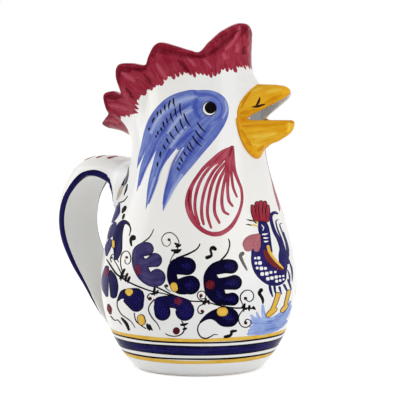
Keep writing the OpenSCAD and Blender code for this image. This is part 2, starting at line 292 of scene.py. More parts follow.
def upright(angle):
    """The curve that the clay follows from the seam up to the rim, at an angle from the beak."""
    edge = by_angle(comb_edge_shares, angle)
    end = np.stack([edge[..., 1] * comb_reach, seam_z + edge[..., 2] * comb_rise], -1)
    start = np.broadcast_to([seam_r, seam_z], end.shape)
    back = (1 - np.cos(np.radians(angle))) / 2
    tail = back**tail_power
    lean = np.radians(mix(mix(front_lean, back_lean, back**back_power), tail_lean, tail))
    tilt = np.stack([np.sin(lean), np.cos(lean)], -1)
    rise = upper_side[3] - upper_side[2]
    length = np.linalg.norm(end - start, axis=-1, keepdims=True)
    arm = length * mix(upright_share, tail_share, tail)[..., None]
    return start, start + rise / np.linalg.norm(rise) * length * upright_share, end - tilt * arm, end


def comb_start(curve, angle):
    """How far up its curve the clay of the comb starts."""
    return place_at(curve, seam_z + comb_rise * by_angle(comb_start_shares, angle)[..., 1])


def skin(curve, angle, t, depth):
    """Radius and height of the clay at t up its curve, at a depth under its outside."""
    step = 0.002
    slope = bezier(curve, t + step) - bezier(curve, t - step)
    square = np.stack([slope[..., 1], -slope[..., 0]], -1) / np.linalg.norm(slope, axis=-1, keepdims=True)
    turned = mix(np.array([1, 0]), square, (square_share * np.sin(math.pi * t))[..., None])
    turned /= np.linalg.norm(turned, axis=-1, keepdims=True)
    cheek = (1 + np.cos(np.radians(angle))) / 2
    swell = head_swell * np.sin(math.pi * np.minimum(1, t / swell_end)) ** 2 * cheek
    rz = bezier(curve, t) - turned * np.asarray(depth)[..., None]
    return np.stack([rz[..., 0] + swell, rz[..., 1]], -1)


def turn(rz, angle):
    """Radius and height, turned to an angle from the beak."""
    a = np.radians(angle)
    return np.stack([rz[..., 0] * np.cos(a), rz[..., 0] * np.sin(a), rz[..., 1]], -1)


def with_brow(points):
    """Pulls the forehead out over the root of the beak."""
    x, y, z = points[..., 0], points[..., 1], points[..., 2]
    over = np.where(z > brow_z, (z - brow_z) / brow_fade, (brow_z - z) / (2 * brow_fade))
    reach = brow_reach * np.exp(-((y / brow_half_w) ** 2) - over**2) * (x > 0)
    return np.stack([x + reach, y, z], -1)


def clay_t(t):
    """Thickness of the clay, which thins towards the rim."""
    return mix(wall, comb_t, t)


angles = np.arange(sides) * 360 / sides
uprights = upright(angles)
head_t = np.linspace(0, 1, head_rows)[:, None] * comb_start(uprights, angles)
head_outside = with_brow(turn(skin(uprights, angles, head_t, 0 * head_t), angles))
head_inside = turn(skin(uprights, angles, head_t, clay_t(head_t)), angles)


def between(points, row, column):
    """The point at a place between the rows and columns of the head's grid."""
    low_row, low_column = math.floor(row), math.floor(column)
    over_share = column - low_column
    lines = (points[min(low_row + k, head_rows - 1)] for k in (0, 1))
    low, high = (mix(line[low_column % sides], line[(low_column + 1) % sides], over_share) for line in lines)
    return mix(low, high, row - low_row)


def oval(rows_of_points):
    """Draws the corners of the window in, so that its outline is a soft oval."""
    middle, half = (window_low + window_high) / 2, (window_high - window_low) / 2
    moved = rows_of_points.copy()
    for j in range(window_low, window_high + 1):
        for i in range(-window_half, window_half + 1):
            across, up = i / window_half, (j - middle) / half
            if max(abs(across), abs(up)) > 0.999:
                shrink = (abs(across) ** window_square + abs(up) ** window_square) ** (-1 / window_square)
                row, column = middle + up * shrink * half, across * shrink * window_half
                moved[j, i] = between(rows_of_points, row, column)
    return moved


def window_faces():
    """Faces of the head, outside and inside, left out at the window and closed round its edges."""
    def outer(j, i):
        return j * sides + i % sides

    def inner(j, i):
        return head_rows * sides + outer(j, i)

    faces = []
    for j in range(head_rows - 1):
        for i in range(-window_half, sides - window_half):
            if window_low <= j < window_high and i < window_half:
                continue
            faces.append([outer(j, i), outer(j, i + 1), outer(j + 1, i + 1), outer(j + 1, i)])
            faces.append([inner(j, i), inner(j + 1, i), inner(j + 1, i + 1), inner(j, i + 1)])
    steps = [(0, i, 0, i + 1) for i in range(sides)]
    steps += [(head_rows - 1, i, head_rows - 1, i + 1) for i in range(sides)]
    steps += [(j, i, j + 1, i) for i in (-window_half, window_half) for j in range(window_low, window_high)]
    steps += [(j, i, j, i + 1) for j in (window_low, window_high) for i in range(-window_half, window_half)]
    return faces + [[outer(j, i), outer(j2, i2), inner(j2, i2), inner(j, i)] for j, i, j2, i2 in steps]


head_points = np.stack([oval(head_outside), oval(head_inside)])
head = fired("head_glazed", head_points, window_faces(), pot_glaze)
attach(head, "root")
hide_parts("head")

# Comb: the rim of the filling mouth, pulled out and cut into eight points that step down from
# the forehead to the tail. It is brushed with crimson from the rim downwards, in slanting strokes
# that pool dark along the top and leave the white showing through between them.
comb_rows, rim_rows = 40, 9
bare_from, bare_to = 2, 6
comb_slant, pool_down, pool_w = 0.55, 3.2, 2.6
head_girth_r = 38
comb_dark, comb_red, comb_pink = (0.115, 0.003, 0.011, 1), (0.250, 0.010, 0.029, 1), (0.38, 0.046, 0.075, 1)
# Pale pink of the rounded rim: crimson wiped thin over the edge, and a painted highlight along it.
rim_pale_and_sheen, bare_red = (0.66, 0.42, 0.44, 1), (0.45, 0.14, 0.17, 1)
paint_gloss = 0.025
cloud_scale, cloud_share = 150, 0.35

# One loaded brush: streaks along the stroke, cloudy patches and pigment pooled at its edges.
# The attribute holds the place along and across the stroke in millimetres, and how near its edge is.
brush_wash, wash_in, wash_out = new_group(
    "brush_wash",
    {"Thin": "Color", "Full": "Color", "Pooled": "Color", "Streaks": "Float", "Length": "Float",
     "Cover": "Float", "Edge": "Float", "Crisp": "Float", "Soft": "Float"},
    {"Color": "Color", "Body": "Float"})
marks = add_node(brush_wash, "SeparateXYZ", {0: add_node(
    brush_wash, "Attribute", {}, attribute_name="brush").outputs["Vector"]}).outputs
along = add_node(brush_wash, "Math", {0: marks[0], 1: wash_in["Length"]}, operation="MULTIPLY").outputs[0]
across = add_node(brush_wash, "Math", {0: marks[1], 1: wash_in["Streaks"]}, operation="MULTIPLY").outputs[0]
bristles = add_node(brush_wash, "TexNoise", {
    "Vector": add_node(brush_wash, "CombineXYZ", {0: along, 1: across}).outputs[0],
    "Scale": 1, "Detail": 4, "Roughness": 0.6}).outputs["Fac"]
clouds = add_node(brush_wash, "TexNoise", {
    "Vector": add_node(brush_wash, "TexCoord", {}).outputs["Object"],
    "Scale": cloud_scale, "Detail": 3}).outputs["Fac"]
both = add_node(brush_wash, "Mix", {0: cloud_share, 2: bristles, 3: clouds}).outputs[0]
covered = add_node(brush_wash, "Math", {0: both, 1: wash_in["Cover"]}, operation="ADD").outputs[0]
load = add_node(brush_wash, "MapRange", {"Value": covered, "From Min": 0.36, "From Max": 0.64}).outputs[0]
wash = add_node(brush_wash, "MixRGB", {0: load, 1: wash_in["Thin"], 2: wash_in["Full"]}).outputs[0]
rim_share = add_node(brush_wash, "Math", {0: marks[2], 1: wash_in["Crisp"]}, operation="POWER").outputs[0]
pooling = add_node(brush_wash, "Math", {0: rim_share, 1: wash_in["Edge"]}, operation="MULTIPLY").outputs[0]
uneven = add_node(brush_wash, "MapRange", {"Value": clouds, "From Min": 0.3, "From Max": 0.6,
                                           "To Min": 0.45, "To Max": 1}).outputs[0]
pooled = add_node(brush_wash, "Math", {0: pooling, 1: uneven},
                  operation="MULTIPLY", use_clamp=True).outputs[0]
painted = add_node(brush_wash, "MixRGB", {0: pooled, 1: wash, 2: wash_in["Pooled"]}).outputs[0]
inside = add_node(brush_wash, "Math", {0: 1, 1: marks[2]}, operation="SUBTRACT").outputs[0]
faded = add_node(brush_wash, "MapRange", {"Value": inside, "From Max": wash_in["Soft"]},
                 interpolation_type="SMOOTHSTEP").outputs[0]
dragged = add_node(brush_wash, "MapRange", {"Value": load, "To Min": 0.4, "To Max": 1}).outputs[0]
body = add_node(brush_wash, "Math", {0: faded, 1: dragged}, operation="MULTIPLY").outputs[0]
fill_outputs(brush_wash, wash_out, Color=painted, Body=body)


def brushed(name, thin, full, pooled, streaks=1.4, length=0.1, cover=0.0, edge=0.8, crisp=4.0, soft=0.0):
    """Brushed colour over the glaze: thin, full and pooled are what the brush leaves as its load grows."""
    material, tree, shader, _ = glazed(name, paint_gloss)
    coat = place_group(tree, brush_wash, Thin=thin, Full=full, Pooled=pooled, Streaks=streaks,
                       Length=length, Cover=cover, Edge=edge, Crisp=crisp, Soft=max(soft, 0.01))
    tree.links.new(coat["Color"], shader.inputs["Base Color"])
    if soft:
        tree.links.new(coat["Body"], shader.inputs["Alpha"])
    return material


rim_r = comb_t / 2
comb_from = comb_start(uprights, angles)
upright_len = np.linalg.norm(uprights[3] - uprights[0], axis=-1)
comb_to = 1 - rim_r / upright_len
comb_t_rows = mix(comb_from, comb_to, np.linspace(0, 1, comb_rows)[:, None])
comb_outside = skin(uprights, angles, comb_t_rows, 0 * comb_t_rows)
comb_inside = skin(uprights, angles, comb_t_rows, clay_t(comb_t_rows))
rim_middle = (comb_outside[-1] + comb_inside[-1]) / 2
rim_out = comb_outside[-1] - rim_middle
rim_up = uprights[3] - uprights[2]
rim_up = rim_up / np.linalg.norm(rim_up, axis=-1, keepdims=True) * rim_r
rim_turn = np.linspace(0, math.pi, rim_rows + 2)[1:-1, None, None]
comb_rim = rim_middle + rim_out * np.cos(rim_turn) + rim_up * np.sin(rim_turn)
comb_rz = np.concatenate([comb_outside, comb_rim, comb_inside[::-1]])
from_rim = np.linalg.norm(comb_rz - rim_middle, axis=-1) * 1000
round_mm = np.broadcast_to(np.radians(angles) * head_girth_r, from_rim.shape)
comb_pool = np.exp(-((from_rim - pool_down) / pool_w) ** 2)
comb_brush = np.stack([from_rim, round_mm + comb_slant * from_rim, comb_pool], -1)
comb_finish = brushed("comb_crimson", comb_pink, comb_red, comb_dark,
                      streaks=0.62, length=0.07, cover=0.05, edge=0.95)
# The rounded rim is pale pink: partly crimson wiped thin over the edge, partly a painted highlight along the
# rim.
comb_rim_bare_and_sheen = brushed("comb_rim_thin_and_sheen", rim_pale_and_sheen, bare_red, bare_red, edge=0)
comb_faces = grid_faces(len(comb_rz), sides)
comb = fired("comb_brushed", turn(comb_rz, angles), comb_faces, comb_finish, comb_brush)
comb.data.materials.append(comb_rim_bare_and_sheen)
rim_bare_and_sheen_rows = np.zeros((len(comb_rz), sides), np.int32)
rim_bare_and_sheen_rows[comb_rows + bare_from:comb_rows + bare_to] = 1
comb.data.polygons.foreach_set("material_index", rim_bare_and_sheen_rows.ravel())
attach(comb, "root")
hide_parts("comb")

# Beak: two thin shells of clay, an arch over a trough, luted to the head round the window. Their lips
# are wiped round with a wet finger. Both are brushed orange yellow outside and stay white inside.
beak_half_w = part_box("upper_beak")[1].y
upper_tip_x, lower_tip_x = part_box("upper_beak")[1].x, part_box("lower_beak")[1].x
gape_z, gape = 0.1555, 0.0145
upper_h, lower_h, tip_half_w, arch_point = 0.023, 0.0225, 0.0034, 1.6
beak_t, cheek_share, beak_taper = 0.0034, 0.16, 1.15
# share of the beak's length and share of its height at the root
upper_beak_shares = np.array([
    [0, 1], [0.1, 1.01], [0.3, 0.85], [0.5, 0.69], [0.7, 0.53], [0.85, 0.39], [0.95, 0.30], [1, 0.26]])
lower_beak_shares = np.array([
    [0, 1], [0.1, 1], [0.16, 0.92], [0.21, 0.83], [0.4, 0.67], [0.6, 0.58], [0.78, 0.46], [0.87, 0.385],
    [1, 0.28]])
nose_share, nose_w_share, nose_h_share = 0.86, 0.97, 0.75
lip_share = 0.78
beak_rows, arch_steps, lip_steps = 48, 36, 7
root_sink, flare_share, flare_fade = 0.0022, 0.1, 0.045
root_flare = {1: 0.0001, -1: 0.0012}
white_from = {1: 0.3, -1: 0.99}  # share of the wall's depth where each half stops being yellow
root_pool, root_pool_w, tip_pool, tip_pool_w = 0.1, 0.09, 0.2, 0.05
lip_pool, lip_pool_w = 0.8, 0.16
halves_apart_mm, arch_mm = 90, 9
beak_pale, beak_orange, beak_deep = (0.83, 0.47, 0.030, 1), (0.71, 0.32, 0.005, 1), (0.56, 0.18, 0.002, 1)


def front_x(y, z):
    """How far forward the head reaches at a place across and up."""
    angle = np.degrees(np.arcsin(y / seam_r))
    curve = upright(angle)
    t = place_at(curve, z)
    return np.sqrt(skin(curve, angle, t, 0 * t)[..., 0] ** 2 - y**2)


def beak_half(name, node, side, tip_x, edge_tip_z, root_h, h_shares, material):
    """One half of the beak: side is 1 for the arch and -1 for the trough, u runs from root to tip."""
    u = np.cos(np.linspace(math.pi / 2, 0, beak_rows))[:, None]
    parted = np.maximum(0, (u - cheek_share) / (1 - cheek_share))
    nose = np.maximum(0, (u - nose_share) / (1 - nose_share)) ** 2
    flare = root_flare[side] * np.exp(-(((u - flare_share) / flare_fade) ** 2))
    half = mix(beak_half_w, tip_half_w, u**beak_taper) * np.sqrt(1 - nose_w_share * nose) + flare
    h = root_h * by_angle(h_shares, u)[..., 1] * np.sqrt(1 - nose_h_share * nose) + flare
    t = np.minimum(beak_t, lip_share * np.minimum(half, h))
    near_tip = np.clip((u * (tip_x - seam_r) - (tip_x - seam_r - t / 2)) / (t / 2), 0, 1)
    t = t * np.sqrt(np.maximum(0.002, 1 - near_tip**2))
    joined = np.clip((u - cheek_share) / cheek_share, 0, 1)
    edge_z = mix(gape_z, edge_tip_z, parted) + side * beak_t / 2 * joined
    h = h - beak_t / 2 * joined
    bow = np.linspace(0, math.pi, arch_steps)
    lip = np.linspace(0, math.pi, lip_steps)[1:-1]
    turn_of = np.concatenate([bow, 0 * lip + math.pi, bow[::-1], 0 * lip])
    depth = np.concatenate([0 * bow, (1 - np.cos(lip)) / 2, 0 * bow + 1, (1 + np.cos(lip)) / 2])
    bulge = np.concatenate([0 * bow, np.sin(lip) / 2, 0 * bow, np.sin(lip) / 2])
    arch = mix(arch_point if side > 0 else 1, 1, u)
    bowed = np.sign(np.cos(turn_of)) * np.abs(np.cos(turn_of)) ** arch
    out_y, out_z = np.cos(turn_of) / half, side * np.sin(turn_of) / h
    size = np.hypot(out_y, out_z)
    y = half * bowed - out_y / size * depth * t
    z = edge_z + side * h * np.sin(turn_of) - out_z / size * depth * t - side * bulge * t
    root_x = front_x(beak_half_w * bowed[:1], gape_z + side * root_h * np.sin(turn_of)) - root_sink
    x = mix(root_x, tip_x, u) + 0 * y
    rows, columns = x.shape
    faces = grid_faces(rows, columns, ring_rows=False)
    faces += [list(range(columns)), [(rows - 1) * columns + i for i in range(columns)]]
    near_root = np.exp(-((u - root_pool) / root_pool_w) ** 2)
    near_end = near_root + tip_pool * np.exp(-((1 - u) / tip_pool_w) ** 2)
    near_lip = np.exp(-np.abs(np.sin(turn_of)) / lip_pool_w) * (u > cheek_share)
    pool = np.clip(near_end + lip_pool * near_lip, 0, 1)
    brush = np.stack([x * 1000 + side * halves_apart_mm, turn_of * arch_mm + 0 * x, pool], -1)
    made = fired(name, np.stack([x, y, z], -1), faces, material, brush)
    made.data.materials.append(pot_glaze)
    white = np.minimum(depth, np.roll(depth, -1)) > white_from[side]
    unpainted = np.append(np.tile(white, rows - 1), [True, False])
    made.data.polygons.foreach_set("material_index", unpainted.astype(np.int32))
    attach(made, "root")
    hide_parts(node)
    return made


beak_finish = brushed("beak_yellow", beak_pale, beak_orange, beak_deep, streaks=0.8, length=0.05, edge=0.75)
upper_beak = beak_half("upper_beak_brushed", "upper_beak", 1, upper_tip_x, gape_z + gape,
                       upper_h, upper_beak_shares, beak_finish)
lower_beak = beak_half("lower_beak_brushed", "lower_beak", -1, lower_tip_x, gape_z,
                       lower_h, lower_beak_shares, beak_finish)

# Handle: a broad strap of clay pulled by hand, flat inside and rounded outside. Its upper end spreads
# on the neck, its lower end is smeared out on the belly, and the joints are smoothed with slip.
handle_reach, handle_w = 0.094, 0.037
handle_top_z, handle_low_z = 0.1215, 0.020
handle_crown, handle_inset = 0.0095, 0.0022
flat_square, edge_square = 0.5, 0.8
strap_rows, strap_sides, strap_sink = 120, 64, 0.0012
# share of the reach, share of the rise, shares of width, of crown and of inset
handle_shares = np.array([
    [0.515, 0.968, 1.12, 1.25, 11.0], [0.555, 0.978, 1.04, 1.14, 7.2], [0.606, 0.990, 1, 1.14, 3.8],
    [0.734, 1.000, 1, 1.16, 1.4], [0.856, 0.975, 1, 1.16, 1], [0.962, 0.857, 1, 1.02, 1],
    [1.000, 0.720, 1, 0.88, 1], [0.989, 0.581, 1, 0.76, 1], [0.915, 0.433, 0.98, 0.68, 0.9],
    [0.809, 0.290, 0.95, 0.60, 0.8], [0.734, 0.182, 0.92, 0.54, 0.7], [0.667, 0.094, 0.90, 0.42, 0.6],
    [0.582, 0.000, 0.90, 0.20, 0.5]])
strap_end = len(handle_shares) - 1


def pot_r(z):
    """Radius of the thrown wall at a height."""
    low = place_at(lower_side, np.minimum(z, belly_z))
    high = place_at(upper_side, np.clip(z, belly_z, seam_z))
    return np.where(z < belly_z, bezier(lower_side, low)[..., 0], bezier(upper_side, high)[..., 0])


def back_r(y, z):
    """Radius at the back of the pot or head, at a place across and up."""
    angle = 180 - np.degrees(np.arcsin(np.clip(np.abs(y) / seam_r, 0, 1)))
    curve = upright(angle)
    t = place_at(curve, np.maximum(z, seam_z))
    return np.where(z < seam_z, pot_r(z), skin(curve, angle, t, 0 * t)[..., 0])


def strap_line(s):
    """The middle line of the strap, as places back and up."""
    shares = through(handle_shares, s)
    return np.stack([-shares[..., 0] * handle_reach,
                     handle_low_z + shares[..., 1] * (handle_top_z - handle_low_z)], -1)


def strap_surface(s, turn_of):
    """Points of the strap at places s along it and turns round it, landed on the pot at both ends."""
    s, turn_of = np.broadcast_arrays(s, turn_of)
    step = 0.01
    along = strap_line(np.minimum(s + step, strap_end)) - strap_line(np.maximum(s - step, 0))
    along /= np.linalg.norm(along, axis=-1, keepdims=True)
    shares = through(handle_shares, s)
    c, n = np.cos(turn_of), np.sin(turn_of)
    back = handle_crown * shares[..., 3] * n
    inside = -handle_inset * shares[..., 4] * np.abs(n) ** flat_square
    depth = np.where(n > 0, back, inside)
    place = strap_line(s) + np.stack([along[..., 1], -along[..., 0]], -1) * depth[..., None]
    y = handle_w / 2 * shares[..., 2] * np.sign(c) * np.abs(c) ** edge_square
    z = place[..., 1]
    wall_x = -np.sqrt(back_r(y, z) ** 2 - y**2)
    end = np.minimum(s, strap_end - s) < 1e-6
    x = np.where(end, wall_x + strap_sink, np.minimum(wall_x, place[..., 0]))
    return np.stack([x, y, z], -1)


strap_s = np.linspace(0, strap_end, strap_rows)[:, None]
strap_turns = np.linspace(0, 2 * math.pi, strap_sides, endpoint=False)
strap_points = strap_surface(strap_s, strap_turns)
strap_faces = grid_faces(strap_rows, strap_sides, ring_rows=False)
strap_faces += [list(range(strap_sides)), [(strap_rows - 1) * strap_sides + i for i in range(strap_sides)]]
handle = fired("handle_glazed", strap_points, strap_faces, pot_glaze)
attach(handle, "root")
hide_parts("handle")

# View of the pitcher at table height, a little towards its beak. The painter's marks that follow are
# placed on the glaze as this view shows them, in pixels of its 400 by 400 picture.
picture_px, focal_px = 400, 1530
view_turn = math.radians(33)
view_away, view_z, aim_z, aim_right = 0.960, 0.160, 0.1052, 0.0009
sensor_mm = 36
camera = bpy.data.objects.new("camera", bpy.data.cameras.new("camera"))
bpy.context.scene.collection.objects.link(camera)
bpy.context.scene.camera = camera
camera.data.sensor_width = sensor_mm
camera.data.lens = focal_px / picture_px * sensor_mm
camera.location = (math.sin(view_turn) * view_away, -math.cos(view_turn) * view_away, view_z)
aim = Vector((math.cos(view_turn) * aim_right, math.sin(view_turn) * aim_right, aim_z))
camera.rotation_euler = (aim - camera.location).to_track_quat("-Z", "Y").to_euler()

# Rings above the foot: yellow, black and cobalt bands laid on the turning pot with a loaded brush, so
# they run true but swell and thin a little on the way round. All paint lies as a thin film on the glaze.
film_lift, layer_lift, film_sink = 0.00008, 0.000025, 0.00015
ring_wave, second_wave_share, ring_swell = 0.00012, 0.6, 0.06
# turns and phase of the two waves of a ring and of its swelling
first_wave, second_wave, swell_wave = (3, 900), (7, 1700), (5, 400)
half_ring_mm, ring_shift = 500, 9000
upper_yellow, upper_black = (0.0237, 0.0259), (0.0226, 0.0237)
blue_band, band_line = (0.0152, 0.0205), 0.00045
lower_black, lower_yellow = (0.0117, 0.0128), (0.0092, 0.0115)
yellow_paint = brushed("antimony_yellow", (0.80, 0.55, 0.12, 1), (0.70, 0.40, 0.04, 1),
                       (0.45, 0.20, 0.012, 1), streaks=0.9, edge=0.5)
band_blue = brushed("band_blue", (0.022, 0.018, 0.145, 1), (0.005, 0.0035, 0.050, 1),
                    (0.002, 0.0015, 0.010, 1), streaks=0.9, length=0.03, cover=0.05, edge=0.95)
black_paint = brushed("black_liner", (0.030, 0.022, 0.022, 1), (0.003, 0.002, 0.003, 1),
                      (0.003, 0.002, 0.003, 1), streaks=1.2, cover=0.12)


def film(points, normals, brush, layer=0):
    """A thin closed skin of paint, a little above the glaze and a little sunk into it."""
    lifted = points + normals * (film_lift + layer * layer_lift)
    sunk = points - normals * film_sink
    return np.concatenate([lifted, sunk[:, ::-1]], 1), np.concatenate([brush, brush[:, ::-1]], 1)


def paint(name, films, material, mirrored=True, closed=False, far_turn=0.0):
    """Films on the near side, and mirrored ones on the far side, turned on round the pot if need be."""
    far_side = np.diag((1.0, -1.0, 1.0)) @ np.array(Matrix.Rotation(-far_turn, 3, "Z"))
    points, brush, faces, start = [], [], [], 0
    for outline, marks in films:
        rows, columns = outline.shape[:2]
        for side in (np.eye(3), far_side) if mirrored else (np.eye(3),):
            points.append((outline @ side).reshape(-1, 3))
            brush.append(marks.reshape(-1, 3))
            faces += (np.array(grid_faces(rows, columns, ring_rows=closed)) + start).tolist()
            if not closed:
                faces += [[start + i for i in range(columns)],
                          [start + (rows - 1) * columns + i for i in range(columns)]]
            start += rows * columns
    made = fired(name, np.concatenate(points), faces, material, np.concatenate(brush))
    made.visible_shadow = made.visible_diffuse = False  # too thin to shade the glaze under it
    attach(made, "root")
    return made


def ring(low, high, layer=0, count=7):
    """A band between two heights, which sways and swells a little on its way round."""
    turns = np.linspace(0, 2 * math.pi, sides, endpoint=False)[:, None]
    a = np.linspace(-1, 1, count)

    def wave(of, at):
        return np.sin(of[0] * turns + at * of[1])

    sway = ring_wave * (wave(first_wave, low) + second_wave_share * wave(second_wave, high))
    z = (low + high) / 2 + a * (high - low) / 2 * (1 + ring_swell * wave(swell_wave, low)) + sway
    step = 0.0002
    slope = (pot_r(z + step) - pot_r(z - step)) / (2 * step)
    points = np.stack([pot_r(z) * np.cos(turns), pot_r(z) * np.sin(turns), z], -1)
    normals = np.stack([np.cos(turns) + 0 * z, np.sin(turns) + 0 * z, -slope], -1)
    normals /= np.linalg.norm(normals, axis=-1, keepdims=True)
    brush = np.stack([turns * belly_r * 1000 + 0 * z,
                      a * (high - low) * half_ring_mm + low * ring_shift + 0 * z,
                      np.abs(a) + 0 * z], -1)
    return film(points, normals, brush, layer)


paint("rings_yellow", [ring(*upper_yellow), ring(*lower_yellow)], yellow_paint, mirrored=False, closed=True)
paint("ring_blue", [ring(*blue_band)], band_blue, mirrored=False, closed=True)
black_rings = [upper_black, lower_black] + [(z - band_line, z + band_line) for z in blue_band]
rings_black = [ring(*heights, layer=1, count=5) for heights in black_rings]
paint("rings_black", rings_black, black_paint, mirrored=False, closed=True)

# Handle stripes: a dark blue line down each edge of the strap, drawn out to a point at both joints.
# Red dashes, each one touch of the brush, cross the rounded back of the strap.
stripe_rows, stripe_columns = 170, 11
# place along the strap, and the turns past its edge between which the stripe lies
stripe_turns = np.array([
    [0.02, 21, 23], [0.5, 13, 19.5], [1, 7, 17.5], [1.5, 3.5, 17], [2, 1, 21], [2.5, -7, 23],
    [3, -10, 34], [3.5, -7, 42], [4, -4, 44], [4.5, -5, 36], [5, -9, 27], [6, -24, 17], [7, -45, 21],
    [8, -42, 17], [9, -42, 6], [10, -38, -3], [10.5, -30, -10], [10.9, -20, -17]])
dash_first, dash_step, dash_count = 2.5, 0.58, 14
dash_mm_s, dash_mm_turn = 14, 16
# millimetres along the strap, round it and half across the brush
dash_marks = np.array([[-1, 2, 0.3], [-0.4, 4.2, 1], [0.3, 6.6, 1.6], [0.6, 7.6, 1.5]])
dash_red = brushed("dash_red", (0.38, 0.070, 0.070, 1), (0.22, 0.020, 0.024, 1), (0.06, 0.006, 0.010, 1),
                   edge=0.9)
px_mm = 0.625  # a pixel of the view, in millimetres on the pitcher
hair_half = 0.03
thin_mm, broad_mm = 1.5, 3.5
thin_columns, middle_columns, broad_columns = 5, 7, 11
curve_steps, cap_rows = 16, 6
along_shift, across_shift = 7.3, 3.1  # so that no two strokes have the same streaks


def stroke(marks, place, layer=0, unit=1.0, step=1.3, corner=1.0, dense=1):
    """One brush mark through (x, y, half width), rounded off where it starts or ends wide."""
    marks = np.array(marks, float)
    fine = marks
    if len(marks) > 1:
        fine = through(marks, np.linspace(0, len(marks) - 1, curve_steps * len(marks)))
    run = np.concatenate([[0], np.cumsum(np.linalg.norm(np.diff(fine[:, :2], axis=0), axis=1))])
    stops = np.linspace(0, run[-1], int(run[-1] * dense / step) + 3) if run[-1] > 0 else np.zeros(1)
    body = np.stack([np.interp(stops, run, fine[:, k]) for k in range(3)], -1)
    heading = np.gradient(body[:, :2], axis=0) if len(body) > 1 else np.array([[0, 1.0]])
    heading /= np.linalg.norm(heading, axis=-1, keepdims=True) + 1e-9
    rise = np.linspace(0, math.pi / 2, cap_rows)[:-1, None]
    off, wide = np.cos(rise), np.sin(rise) ** corner
    start = np.hstack([body[0, :2] - heading[0] * body[0, 2] * off, body[0, 2] * wide])
    end = np.hstack([body[-1, :2] + heading[-1] * body[-1, 2] * off, body[-1, 2] * wide])
    rows = np.vstack([start, body, end[::-1]])
    heading = np.vstack([0 * rise + heading[0], heading, 0 * rise + heading[-1]])
    capped = np.concatenate([off[:, 0], 0 * body[:, 0], off[::-1, 0]])
    half = np.maximum(rows[:, 2], hair_half)
    widest = half.max() * unit
    count = thin_columns if widest < thin_mm else middle_columns if widest < broad_mm else broad_columns
    a = np.sin(np.linspace(-math.pi / 2, math.pi / 2, count * dense))
    sideways = np.stack([-heading[:, 1], heading[:, 0]], -1)
    spots = rows[:, None, :2] + sideways[:, None] * (half[:, None] * a)[..., None]
    edge = np.sqrt(capped[:, None] ** 2 + a**2 * (1 - capped[:, None] ** 2))
    gone = np.concatenate([0 * rise[:, 0], stops, 0 * rise[:, 0] + run[-1]])
    brush = np.stack([(gone[:, None] + along_shift * marks[0, 0]) * unit + 0 * edge,
                      (half[:, None] * a + across_shift * marks[0, 1]) * unit, edge], -1)
    return film(*place(spots), brush, layer)


def seen_on(*carriers):
    """Gives the place on the glaze of these pieces that the view shows at a pixel of its picture."""
    points, faces = [], []
    for carrier in carriers:
        faces += [[len(points) + i for i in p.vertices] for p in carrier.data.polygons]
        points += [v.co.copy() for v in carrier.data.vertices]
    tree = BVHTree.FromPolygons(points, faces)
    look = camera.rotation_euler.to_matrix()
    half = picture_px / 2

    def place(pixels):
        found = np.empty(pixels.shape[:-1] + (2, 3))
        for k in np.ndindex(pixels.shape[:-1]):
            x, y = pixels[k]
            ray = look @ Vector(((x - half) / focal_px, (half - y) / focal_px, -1))
            hit, normal, *_ = tree.ray_cast(camera.location, ray.normalized())
            if hit is None:
                hit, normal, *_ = tree.find_nearest(camera.location + ray * view_away)
            found[k] = hit, normal
        return found[..., 0, :], found[..., 1, :]
    return place


def on_strap(places):
    """Places along the strap and turns round it."""
    s, turn_of = places[..., 0], places[..., 1]
    step = 0.004
    ahead = strap_surface(s + step, turn_of) - strap_surface(s - step, turn_of)
    around = strap_surface(s, turn_of + step) - strap_surface(s, turn_of - step)
    normals = np.cross(around, ahead)
    return strap_surface(s, turn_of), normals / np.linalg.norm(normals, axis=-1, keepdims=True)


def on_back(places):
    """Places as millimetres along the strap and round it from the middle of its back."""
    return on_strap(np.stack([places[..., 0] / dash_mm_s, math.pi / 2 + places[..., 1] / dash_mm_turn], -1))


stripe_s = np.linspace(stripe_turns[0, 0], stripe_turns[-1, 0], stripe_rows)[:, None]
stripe_a = np.linspace(-1, 1, stripe_columns)
stripe_low, stripe_high = np.moveaxis(by_angle(stripe_turns, stripe_s)[..., 1:], -1, 0)
stripe_turn = math.pi + np.radians(mix(stripe_low, stripe_high, (stripe_a + 1) / 2))
stripe_brush = np.stack(np.broadcast_arrays(stripe_s * dash_mm_s, stripe_a * 2, np.abs(stripe_a)), -1)
stripe_places = np.stack(np.broadcast_arrays(stripe_s, stripe_turn), -1)
paint("handle_stripes", [film(*on_strap(stripe_places), stripe_brush)], band_blue)
dash_places = [(dash_first + k * dash_step) * dash_mm_s for k in range(dash_count)]
handle_dashes = [stroke(dash_marks + [along, 0, 0], on_back) for along in dash_places]
paint("handle_dashes", handle_dashes, dash_red, mirrored=False)

# Brush strokes on the comb: crimson pulled down from the rim in slanting strokes, each ending in its own
# tongue on the white head, and a dark wet line left along the rim.
comb_stroke_step, comb_stroke_seed, comb_layers = 2.9, 11, 4
comb_stroke_half, tongue_reach = (1.4, 2.2), (0.1, 3.2)
tongue_tip, tongue_root = (-0.3, 0.6, 0.15), -0.8
root_half_share = 0.75
